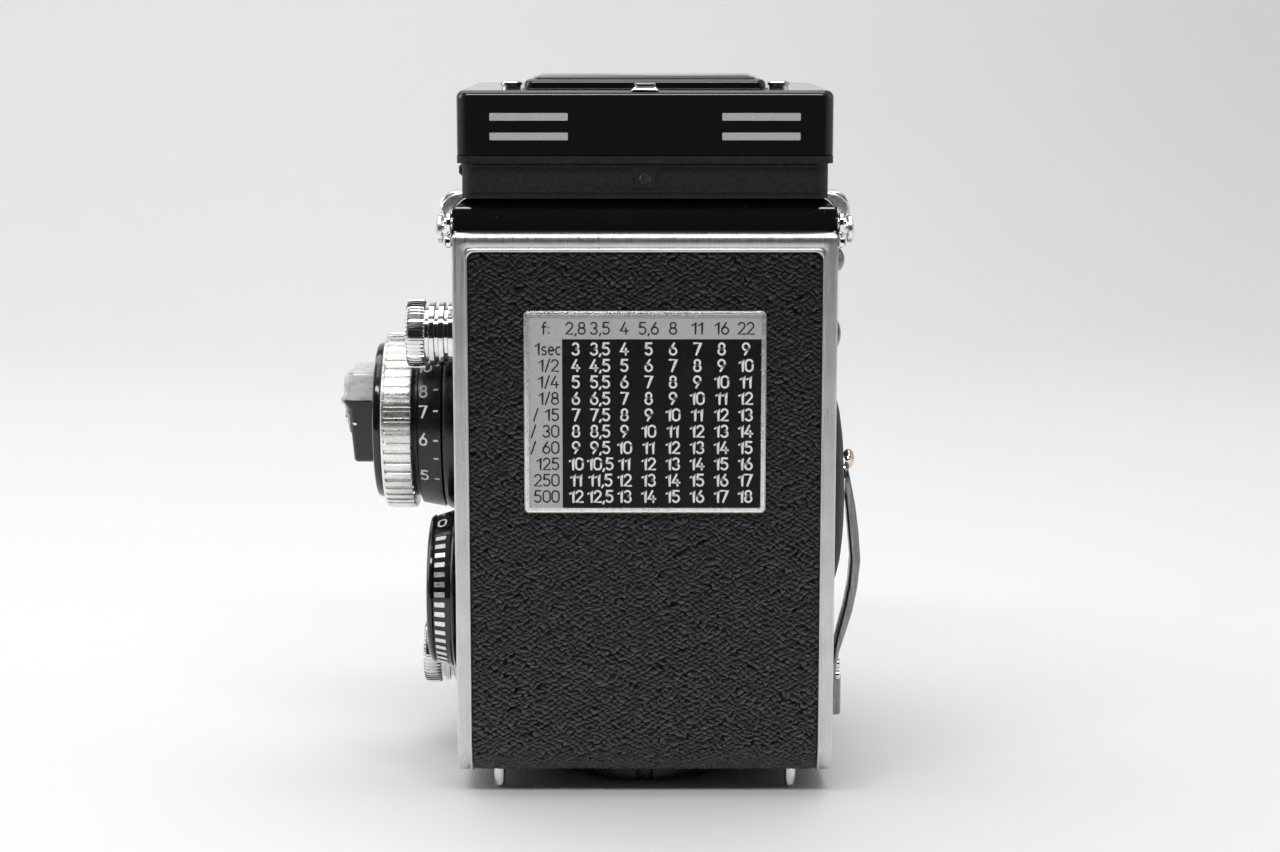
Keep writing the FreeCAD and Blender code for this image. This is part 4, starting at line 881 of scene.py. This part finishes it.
def make_lid_top():
    flap_low, flap_high = mm_box("finder_flap")
    top = mm_box("hood_lid")[1].z
    mid_y = (flap_low.y + flap_high.y) / 2
    half_x = flap_high.x
    half_y = (flap_high.y - flap_low.y) / 2

    def slab(layers, radius, middle_y, steps):
        """Layers are (height over the lid, half width, half depth)."""
        rings = []
        for z, wide, deep in layers:
            line = rounded_rect(wide, deep, radius, steps, (0.0, middle_y))
            rings.append([(a, b, top + z) for a, b in line])
        return loft(rings)

    def finder_slab(inset, layers, radius):
        return slab([(z, half_x - inset - shrink, half_y - inset - shrink) for z, shrink in layers],
                    radius, mid_y, 6)

    plate = [(-0.1, 0.1), (0.35, 0.0), (1.0, 0.0), (1.45, 0.12), (1.8, 0.42), (1.95, 0.85)]
    plate = finder_slab(0.0, plate, 2.2)
    new_mesh("finder_plate", *plate, GLOSS, "lid", ["finder_flap"], 50, "gloss_paint")
    trim = finder_slab(2.0, [(1.6, 0.05), (2.15, 0.0), (2.3, 0.15)], 1.5)
    new_mesh("finder_trim", *trim, GLOSS, "lid", (), 50, "gloss_paint")
    seat = finder_slab(-0.5, [(-0.1, 0.0), (0.12, 0.0), (0.2, 0.1)], 2.4)
    new_mesh("finder_seat", *seat, GLOSS, "lid", (), 50, "gloss_paint")
    stud = [(-0.1, 1.95), (0.5, 1.95), (0.6, 2.2), (1.1, 2.25), (1.35, 2.05), (1.45, 1.6)]
    stud = shifted((top, 0.0), stud)
    fittings = [turned_z(stud, side * LID_STUD[0], LID_STUD[1], 48) for side in (1, -1)]
    tab_y = (mm_box("lid_studs")[1].y + 22.5) / 2
    neck = [(-0.1, 2.75, 2.5), (0.15, 2.7, 2.45), (0.55, 2.2, 2.2), (0.85, 1.75, 2.0)]
    cap = [(0.8, 1.95, 2.05), (0.95, 2.1, 2.2), (1.25, 2.1, 2.2), (1.35, 1.95, 2.05)]
    fittings += [slab(neck, 0.4, tab_y, 4), slab(cap, 0.4, tab_y, 4)]
    new_mesh("lid_fittings", *joined(fittings), CHROME, "lid", ["lid_studs"], 40, "chrome")


# ---- knobs on the focus side --------------------------------------------
def ribbed_x(profile, y, z, ribs, depth, cuts):
    """A turned body with ribs. A profile point is (x, r, share of the groove's depth)."""
    rings = []
    for x, r, share in profile:
        ring = []
        for k in range(ribs):
            for phase, cut in cuts:
                angle = 2 * math.pi * (k + phase) / ribs
                radius = r - depth * share * cut
                ring.append((x, y + radius * math.cos(angle), z + radius * math.sin(angle)))
        rings.append(ring)
    return loft(rings, closed_path=True)


def wrapped(y, z, radius, x_mid, angle_mid, slope=0.0):
    """Maps flat figures onto a knob that turns about an X axis."""
    def place(a, b, h):
        angle = math.radians(angle_mid) + b / radius
        r = radius + h - slope * a
        return x_mid - a, y + r * math.cos(angle), z + r * math.sin(angle)
    return place


def make_focus_knob():
    x0, x1, y, z, r = knob_box("focus_ring")
    d0, d1, _, _, rd = knob_box("distance_drum")
    cuts = [(0.0, 0.0), (0.03, 0.15), (0.06, 0.9), (0.09, 1.0), (0.37, 1.0), (0.40, 0.9), (0.43, 0.15),
            (0.46, 0.0), (0.72, -0.1)]
    bore = 12.5
    profile = [(x0 + 0.1, bore, 0)]
    profile += shifted((x0, r), [(0.1, -1.1, 0), (0.1, -0.35, 1), (0.3, -0.08, 1), (0.8, 0.0, 1)])
    profile += shifted((x1, r), [(-1.2, 0.0, 1), (-0.75, -0.05, 0.7), (-0.6, -0.1, 0), (-0.25, -0.18, 0),
                                 (-0.05, -0.45, 0)])
    profile.append((x1 - 0.05, bore, 0))
    grip = ribbed_x(profile, y, z, 51, 0.62, cuts)
    new_mesh("focus_grip", *grip, KNURL, "focus_knob", ["focus_ring"], 30, "satin_metal")
    taper = 0.178
    seam = d0 + 1.1

    def skin(x):
        return rd - taper * (x - d0)

    profile = [(seam, 10.5), (seam, skin(seam) - 0.3), (seam + 0.2, skin(seam)), (d1 - 1.3, skin(d1 - 1.3)),
               (d1 - 1.1, skin(d1) - 0.25), (d1 - 0.9, rd - 2.5), (d1, rd - 2.6), (d1, 10.5)]
    drum = turned_x(profile, y, z, 160)
    new_mesh("focus_drum", *drum, SATIN_BLACK, "focus_knob", ["distance_drum"], 30, "gloss_paint")
    marks = []
    figures_x, ticks_x = 46.0, 43.4
    for text, angle in (("10", 46.8), ("8", 28.1), ("7", 14.2), ("6", -4.3), ("5", -31.5)):
        place = wrapped(y, z, skin(figures_x) + 0.02, figures_x, angle, -taper)
        marks.append(figures([(text, 0.0, -1.2)], 2.4, 0.4, 0.05, place))
    for angle in (47.1, 28.8, 14.5, -4.9, -17.4, -33.6):
        place = wrapped(y, z, skin(ticks_x) + 0.02, ticks_x, angle, -taper)
        marks.append(stroke_solid([(-0.35, 0.0), (0.35, 0.0)], 0.38, place, 0.05))
    new_mesh("distance_figures", *joined(marks), WHITE, "focus_knob", (), 0, "clear")
    c0 = mm_box("focus_index_collar")[0].x
    rc = mm_box("focus_index_collar")[1].z - z
    profile = [(c0, 12.0), (c0, rc), (c0 + 1.9, rc + 0.05), (c0 + 2.5, rc), (c0 + 3.0, rc - 0.2),
               (seam - 0.25, rc - 0.5), (seam - 0.15, rc - 0.9), (seam - 0.15, 12.0)]
    collar = turned_x(profile, y, z, 160)
    new_mesh("focus_collar", *collar, SATIN_BLACK, "body", ["focus_index_collar"], 30, "gloss_paint")


def make_meter():
    """The light meter on the knob's fixed spindle: black case, clear window, two screws."""
    low, high = mm_box("meter_dome")
    x0 = mm_box("film_speed_disc")[1].x + 0.3
    x1, z1 = high.x - 0.4, high.z
    y0, y1 = low.y, high.y
    mid_y = (y0 + y1) / 2
    foot = mm_box("meter_housing")[0].z
    split = low.z + 1.1

    def across(a, b, h):
        return a, h, b

    case = shifted((x0, foot), [(0.0, 0.0), (3.6, 0.0), (4.1, 0.15), (4.4, 0.6), (5.0, 7.0)])
    case += shifted((x0, split), [(5.2, -0.2), (6.6, 1.7), (6.3, 2.4), (0.0, 2.4)])
    spindle = [(50.0, 0.8), (50.0, 2.4), (x0 + 0.5, 2.4), (x0 + 0.5, 0.8)]
    knob_z = knob_box("focus_ring")[3]
    parts = [plate_prism(case, across, y0, y1, 0.5), turned_x(spindle, mid_y, knob_z, 32)]
    new_mesh("meter_case", *joined(parts), GLOSS, "body", ["meter_housing"], 30, "gloss_paint")
    outline = [(x0 + 0.1, split), (x0 + 4.6, split)]
    outline += arc_points(x0 + 4.9, split + 2.4, 2.4, -80, -10, 6)
    outline += [(x1, split + 3.0)]
    outline += arc_points(x1 - 2.6, z1 - 2.6, 2.6, 0, 90, 8)
    outline += [(x0 + 0.1, z1)]
    crown = 1.7
    wall_x, mid_z = x0 + 0.1, (split + z1) / 2
    ends = []
    for k in range(7):
        angle = math.radians(90 * k / 6)
        ends.append((crown * (1 - math.sin(angle)), crown * (1 - math.cos(angle))))
    sections = [(y0 + a, b) for b, a in ends] + [(y1 - a, b) for b, a in reversed(ends)]
    rings = []
    for y, inset in sections:
        keep_x, keep_z = 1 - inset / 7.0, 1 - inset / 4.2
        rings.append([(wall_x + (a - wall_x) * keep_x, y, mid_z + (b - mid_z) * keep_z) for a, b in outline])
    new_mesh("meter_window", *loft(rings), MILKY, "body", ["meter_dome"], 40, "clear")
    tongue = shifted((x0, split), [(5.05, -5.5), (5.5, -5.2), (6.3, -0.5), (6.75, 1.4), (5.3, -0.3)])
    tongue = plate_prism(tongue, across, y0 + 2.0, y1 - 2.0, 0.2)
    new_mesh("meter_tongue", *tongue, MILKY, "body", (), 40, "clear")
    head = shifted((x0, 0.0), [(5.6, 0.3), (5.6, 1.5), (6.7, 1.5), (6.95, 1.2), (7.0, 0.3)])
    screws = [turned_x(head, mid_y, split - 2.7, 32)]
    pip = shifted((y1, 0.0), [(-0.3, 0.05), (-0.3, 0.5), (0.08, 0.5), (0.2, 0.3), (0.2, 0.05)])
    screws.append(turned_y(pip, x0 + 4.1, split - 2.9, 24))
    new_mesh("meter_screws", *joined(screws), CHROME, "body", (), 35, "chrome")


def make_film_speed_disc():
    x0, x1, y, z, r = knob_box("film_speed_disc")
    profile = [(x0, 6.0), (x0, r - 1.9)]
    profile += shifted((x1, r), [(-1.75, -1.8), (-1.75, -0.5), (-1.6, -0.15), (-1.25, 0.0), (-0.7, 0.0),
                                 (-0.25, -0.2), (-0.05, -0.6), (0.0, -1.1), (0.0, -3.4), (-0.25, -3.6)])
    profile += [(x1 - 0.25, 8.0), (x1 - 0.25, 6.0)]
    disc = turned_x(profile, y, z, 128)
    new_mesh("speed_disc", *disc, GLOSS, "film_speed_disc", ["film_speed_disc"], 30, "gloss_paint")
    marks = []
    for k, text in enumerate(("6", "12", "25", "50", "100", "200", "400")):
        turn = math.radians(150 + 30 * k)

        def place(a, b, h, turn=turn):
            radius = r - 2.9 + b
            swing = turn - a / (r - 2.0)
            return x1 + h, y + radius * math.cos(swing), z + radius * math.sin(swing)
        marks.append(figures([(text, 0.0, 0.2)], 1.5, 0.22, 0.04, place))
    new_mesh("speed_figures", *joined(marks), WHITE, "film_speed_disc", (), 0, "clear")


def make_spool_knob(node, name):
    """A ribbed head on a neck with three raised rings."""
    inner_x, x1, y, z, r = knob_box(node)
    x0 = x1 - 3.9
    cuts = [(0.0, 0.0), (0.28, 0.0), (0.52, 1.0), (0.74, 1.0)]
    head = [(x0, 2.0, 0)]
    head += shifted((x0, r), [(0.0, -0.6, 0), (0.05, -0.35, 1), (0.25, -0.1, 1), (1.6, 0.03, 1)])
    head += shifted((x1, r), [(-1.2, 0.0, 1), (-0.45, -0.12, 1), (-0.15, -0.35, 1), (0.0, -0.7, 0),
                              (0.0, -1.4, 0), (-0.3, -1.7, 0)])
    head.append((x1 - 0.3, 2.0, 0))
    grip = ribbed_x(head, y, z, 50, 0.42, cuts)
    neck = r - 1.35
    start = 39.0
    pitch = (x0 - start) / 3
    line = [(x0 + 0.1, 2.2), (x0 + 0.1, neck)]
    for k in (2, 1, 0):
        a = start + k * pitch
        b = a + pitch * 0.62
        line += [(b + 0.05, neck), (b, r - 0.55), (b - 0.12, r - 0.42), (a + 0.14, r - 0.42), (a, r - 0.55),
                 (a - 0.04, neck)]
    line += [(37.4, neck - 0.4), (37.4, 2.2)]
    shaft = turned_x(line, y, z, 96)
    stem = turned_x([(inner_x, 0.9), (inner_x, 2.2), (37.5, 2.2), (x1 - 0.4, 2.2), (x1 - 0.4, 0.9)], y, z, 48)
    new_mesh(name, *joined([grip, shaft, stem]), CHROME, node, [node], 30, "chrome")


def make_reminder_dial():
    inner_x, x1, y, z, r = knob_box("reminder_dial")
    profile = [(inner_x, 1.2), (inner_x, 2.4), (38.9, 2.4), (38.9, r - 0.6)]
    profile += shifted((39.0, r), [(0.0, 0.1), (0.25, 0.25), (0.5, 0.1), (0.7, -0.1), (1.0, 0.0)])
    profile += shifted((x1, r), [(-1.45, -1.0), (-1.3, -1.25), (-1.15, -1.0), (-0.8, -0.95), (-0.35, -1.2),
                                 (-0.1, -1.6), (0.0, -2.1), (-0.1, -5.0), (-0.5, -5.4)])
    profile.append((x1 - 0.5, 1.2))
    wheel = turned_x(profile, y, z, 160)
    new_mesh("reminder_wheel", *wheel, GLOSS, "reminder_dial", ["reminder_dial"], 30, "gloss_paint")

    def on_flank(angle):
        return wrapped(y, z, r - 0.45, 41.9, angle, -0.27)

    marks = [figures([("0", 0.0, -1.25)], 2.5, 0.42, 0.06, on_flank(70.2)),
             stroke_solid([(-0.12, 0.0), (0.12, 0.0)], 0.5, on_flank(85.0), 0.06)]
    outline = rounded_rect(1.08, 0.5, 0.14, 2)
    bars = [plate_prism(outline, on_flank(52.5 - 7.45 * k), -0.1, 0.06, 0.03) for k in range(16)]
    new_mesh("reminder_zero", *joined(marks), WHITE, "reminder_dial", (), 0, "clear")
    new_mesh("reminder_bars", *joined(bars), BAR_BRIGHT, "reminder_dial", (), 30, "satin_metal")


# ---- strap brackets -----------------------------------------------------
BRACKET_Y = 22.5              # the strap boss


def make_brackets():
    """Strap brackets: an outer lug, a broad curved arm, washers, and a domed stud below."""
    def at_depth(y):
        return lambda a, b, h: (a, y + h, b)

    arm = [(35.9, 124.0), (35.9, 122.9), (37.3, 121.9), (38.1, 120.9), (38.5, 119.6), (38.6, 117.5),
           (40.2, 117.5), (40.5, 119.2), (40.9, 120.6), (40.6, 121.8), (39.6, 122.8), (38.3, 123.5)]
    lug = [(36.0, 123.8), (36.0, 122.6), (39.0, 122.5), (40.2, 121.8), (40.7, 120.6), (40.7, 116.5),
           (41.4, 116.5), (41.5, 120.6), (41.3, 121.9), (40.5, 122.9), (39.1, 123.7)]
    washer = [(38.6, 1.0), (38.6, 3.0), (38.75, 3.25), (39.5, 3.25), (39.65, 3.0), (39.65, 1.0)]
    spacer = [(39.6, 0.8), (39.6, 1.6), (40.8, 1.6), (40.8, 0.8)]
    disc = [(40.7, 0.6), (40.7, 2.4), (40.85, 2.8), (41.5, 2.85), (41.8, 2.4), (41.9, 1.6), (41.95, 0.6)]
    pin = [(38.3, 0.4), (38.3, 1.2), (39.9, 1.2), (39.9, 0.4)]
    parts = [plate_prism(arm, at_depth(20.0), 0.0, 4.5, 0.25),
             plate_prism(lug, at_depth(12.0), 0.0, 7.2, 0.3),
             turned_x(washer, BRACKET_Y, 116.8, 64), turned_x(spacer, BRACKET_Y, 116.6, 48),
             turned_x(disc, BRACKET_Y, 116.4, 64), turned_x(pin, *DOOR_PIN, 32)]
    new_mesh("strap_brackets", *mirrored(parts), BRACKET_METAL, "body", ["hinge_brackets"], 35, "chrome")
    stud = [(38.45, 0.5), (38.45, 2.2), (38.75, 2.45), (39.1, 2.5), (39.6, 2.2), (40.1, 1.5), (40.35, 0.8),
            (40.4, 0.3)]
    crank_side = mirrored([turned_x(stud, 20.0, 110.0, 64)], (-1,))
    new_mesh("bracket_stud", *crank_side, DARK_STEEL, "body", (), 35, "satin_metal")


# ---- crank --------------------------------------------------------------
# (x of the outer face, z, half the thickness), from the arm's head down to its handle
CRANK_LINE = [
    (-42.9, 63.9, 0.5), (-43.4, 62.9, 0.7), (-43.8, 61.0, 0.8), (-44.8, 56.0, 0.95), (-45.6, 50.0, 1.05),
    (-46.05, 44.0, 1.0), (-45.5, 38.0, 0.95), (-44.4, 32.5, 0.9), (-43.05, 28.0, 0.8), (-41.8, 24.0, 0.6),
    (-41.25, 21.0, 0.5), (-41.0, 18.4, 0.45), (-40.95, 16.6, 0.4)]
CRANK_HALF_W = 3.1
CRANK_Z = 61.9


def make_crank_arm():
    hub = mm_box("crank_hub")[0].x
    rings = []
    last = len(CRANK_LINE) - 1
    for i, (x, z, half) in enumerate(CRANK_LINE):
        before = Vector(CRANK_LINE[max(i - 1, 0)][:2])
        after = Vector(CRANK_LINE[min(i + 1, last)][:2])
        along = (after - before).normalized()
        normal = Vector((-along.y, along.x))
        if normal.x > 0:
            normal = -normal
        taper = 1.0 if 0 < i < last else 0.6
        section = rounded_rect(CRANK_HALF_W * taper, half, min(0.4, half * 0.7), 4)
        rings.append([(x + normal.x * (b - half), a, z + normal.y * (b - half)) for a, b in section])
    boss = turned_x([(hub - 0.2, 0.6), (hub - 0.2, 3.2), (-43.3, 3.3), (-43.3, 0.6)], 0.0, CRANK_Z, 48)
    strap = joined([loft(rings), boss])
    new_mesh("crank_strap", *strap, DARK_STEEL, "crank", ["crank_arm"], 50, "satin_metal")

    def bead(centre, half, radius, y, z):
        turns = [math.pi * k / 16 for k in range(17)]
        arc = [(centre + half * math.cos(a), max(radius * math.sin(a), 0.02)) for a in turns]
        return turned_x(arc, y, z, 32)

    new_mesh("crank_lug", *bead(-43.4, 1.3, 2.15, 0.0, 65.5), BRASS, "crank", (), 50, "satin_metal")
    new_mesh("crank_ball", *bead(-43.1, 0.85, 0.85, 1.8, 65.6), CHROME, "crank", (), 50, "chrome")
    rivet = [(-41.2, 0.02), (-41.2, 1.1), (-41.9, 1.1), (-42.15, 0.7), (-42.2, 0.02)]
    rivets = [turned_x(rivet, 1.2, z, 24) for z in (20.9, 18.4)]
    new_mesh("crank_rivets", *joined(rivets), CHROME, "crank", (), 40, "chrome")


def make_crank_cover():
    """The black domed cover on the body under the crank."""
    _, _, y, z, _ = knob_box("crank_base_disc")
    drop = 2.0
    profile = [(-37.2, 3.4), (-37.2, 22.6), (-38.4, 22.5), (-39.5, 21.6), (-40.3, 20.0), (-41.0, 17.4),
               (-41.5, 14.0), (-41.85, 9.5), (-42.0, 5.0), (-42.0, 3.4)]
    dome = turned_x(profile, y, z - drop, 96)
    new_mesh("crank_cover", *dome, MATTE, "body", ["crank_base_disc"], 40, "gloss_paint")


make_leather()
make_door_frame()
make_exposure_table()
make_hood_trim()
make_lid_top()
make_focus_knob()
make_film_speed_disc()
make_meter()
make_spool_knob("upper_spool_knob", "upper_knob_look")
make_spool_knob("lower_spool_knob", "lower_knob_look")
make_reminder_dial()
make_brackets()
make_crank_arm()
make_crank_cover()


# ---- camera, floor and light --------------------------------------------
CAMERA_BACK = 504.4           # from the back door to the lens
CAMERA_HEIGHT = 159.2         # above the surface the camera stands on
CAMERA_SIDE = 1.0
CAMERA_TILT = 9.178           # degrees below the horizontal
CAMERA_LENS = 71.54


def make_camera():
    data = bpy.data.cameras.new("view")
    data.sensor_width = 36.0
    data.lens = CAMERA_LENS
    data.clip_end = 20.0
    camera = bpy.data.objects.new("view", data)
    camera.location = Vector((CAMERA_SIDE, BACK_Y + CAMERA_BACK, GROUND_Z + CAMERA_HEIGHT)) * MM
    camera.rotation_euler = (math.radians(90 - CAMERA_TILT), 0, math.radians(180))
    bpy.context.scene.collection.objects.link(camera)
    bpy.context.scene.camera = camera


def make_floor():
    """A table top that curves up into a plain backdrop."""
    half, near, bend, radius = 1600.0, 620.0, -700.0, 500.0
    line = [(near, 0.0), (300.0, 0.0), (0.0, 0.0), (-300.0, 0.0), (bend, 0.0)]
    for k in range(1, 17):
        a = math.radians(90 * k / 16)
        line.append((bend - radius * math.sin(a), radius * (1 - math.cos(a))))
    line.append((bend - radius, 1800.0))
    verts = [(x, y, z + GROUND_Z) for y, z in line for x in (-half, half)]
    faces = [(2 * i, 2 * i + 1, 2 * i + 3, 2 * i + 2) for i in range(len(line) - 1)]
    s = Shader("pale_floor", (0.86, 0.86, 0.865), roughness=0.6)
    s.color_from(s.ramp(s.noise(400.0), [(0.3, (0.85, 0.85, 0.855)), (0.7, (0.88, 0.88, 0.885))]))
    mesh = bpy.data.meshes.new("floor")
    mesh.from_pydata([(x * MM, y * MM, z * MM) for x, y, z in verts], [], faces)
    mesh.materials.append(s.material)
    mesh.shade_smooth()
    floor = bpy.data.objects.new("floor", mesh)
    bpy.context.scene.collection.objects.link(floor)


def area_light(name, where, target, size, power):
    data = bpy.data.lights.new(name, "AREA")
    data.shape = "RECTANGLE"
    data.size, data.size_y = (v * MM for v in size)
    data.energy = power
    light = bpy.data.objects.new(name, data)
    light.location = Vector(where) * MM
    light.rotation_euler = (Vector(target) - Vector(where)).to_track_quat("-Z", "Y").to_euler()
    bpy.context.scene.collection.objects.link(light)


def make_world():
    """Bright all round, but dim on the side that the back door faces."""
    world = bpy.data.worlds.new("studio")
    world.use_nodes = True
    tree = world.node_tree
    coords = tree.nodes.new("ShaderNodeTexCoord")
    split = tree.nodes.new("ShaderNodeSeparateXYZ")
    ramp = tree.nodes.new("ShaderNodeValToRGB")
    tree.links.new(coords.outputs["Generated"], split.inputs[0])
    tree.links.new(split.outputs["Y"], ramp.inputs["Fac"])
    tree.links.new(ramp.outputs["Color"], tree.nodes["Background"].inputs["Color"])
    ramp.color_ramp.elements[0].position = 0.15
    ramp.color_ramp.elements[0].color = (0.78, 0.79, 0.81, 1.0)
    ramp.color_ramp.elements[1].position = 0.75
    ramp.color_ramp.elements[1].color = (0.03, 0.03, 0.032, 1.0)
    tree.nodes["Background"].inputs["Strength"].default_value = 0.5
    bpy.context.scene.world = world


make_camera()
make_floor()
make_world()
area_light("top_box", (60, 520, 820), (0, 0, 80), (1000, 120), 4.6)
area_light("over_box", (0, 0, 1000), (0, 0, 0), (900, 500), 2.2)
area_light("back_box", (300, -500, 1100), (200, -900, 0), (1600, 500), 6.3)
area_light("left_box", (900, -100, 420), (0, 0, 60), (500, 600), 1.7)
area_light("right_box", (-900, -100, 420), (0, 0, 60), (500, 600), 0.4)
bpy.context.scene.view_settings.view_transform = "Standard"
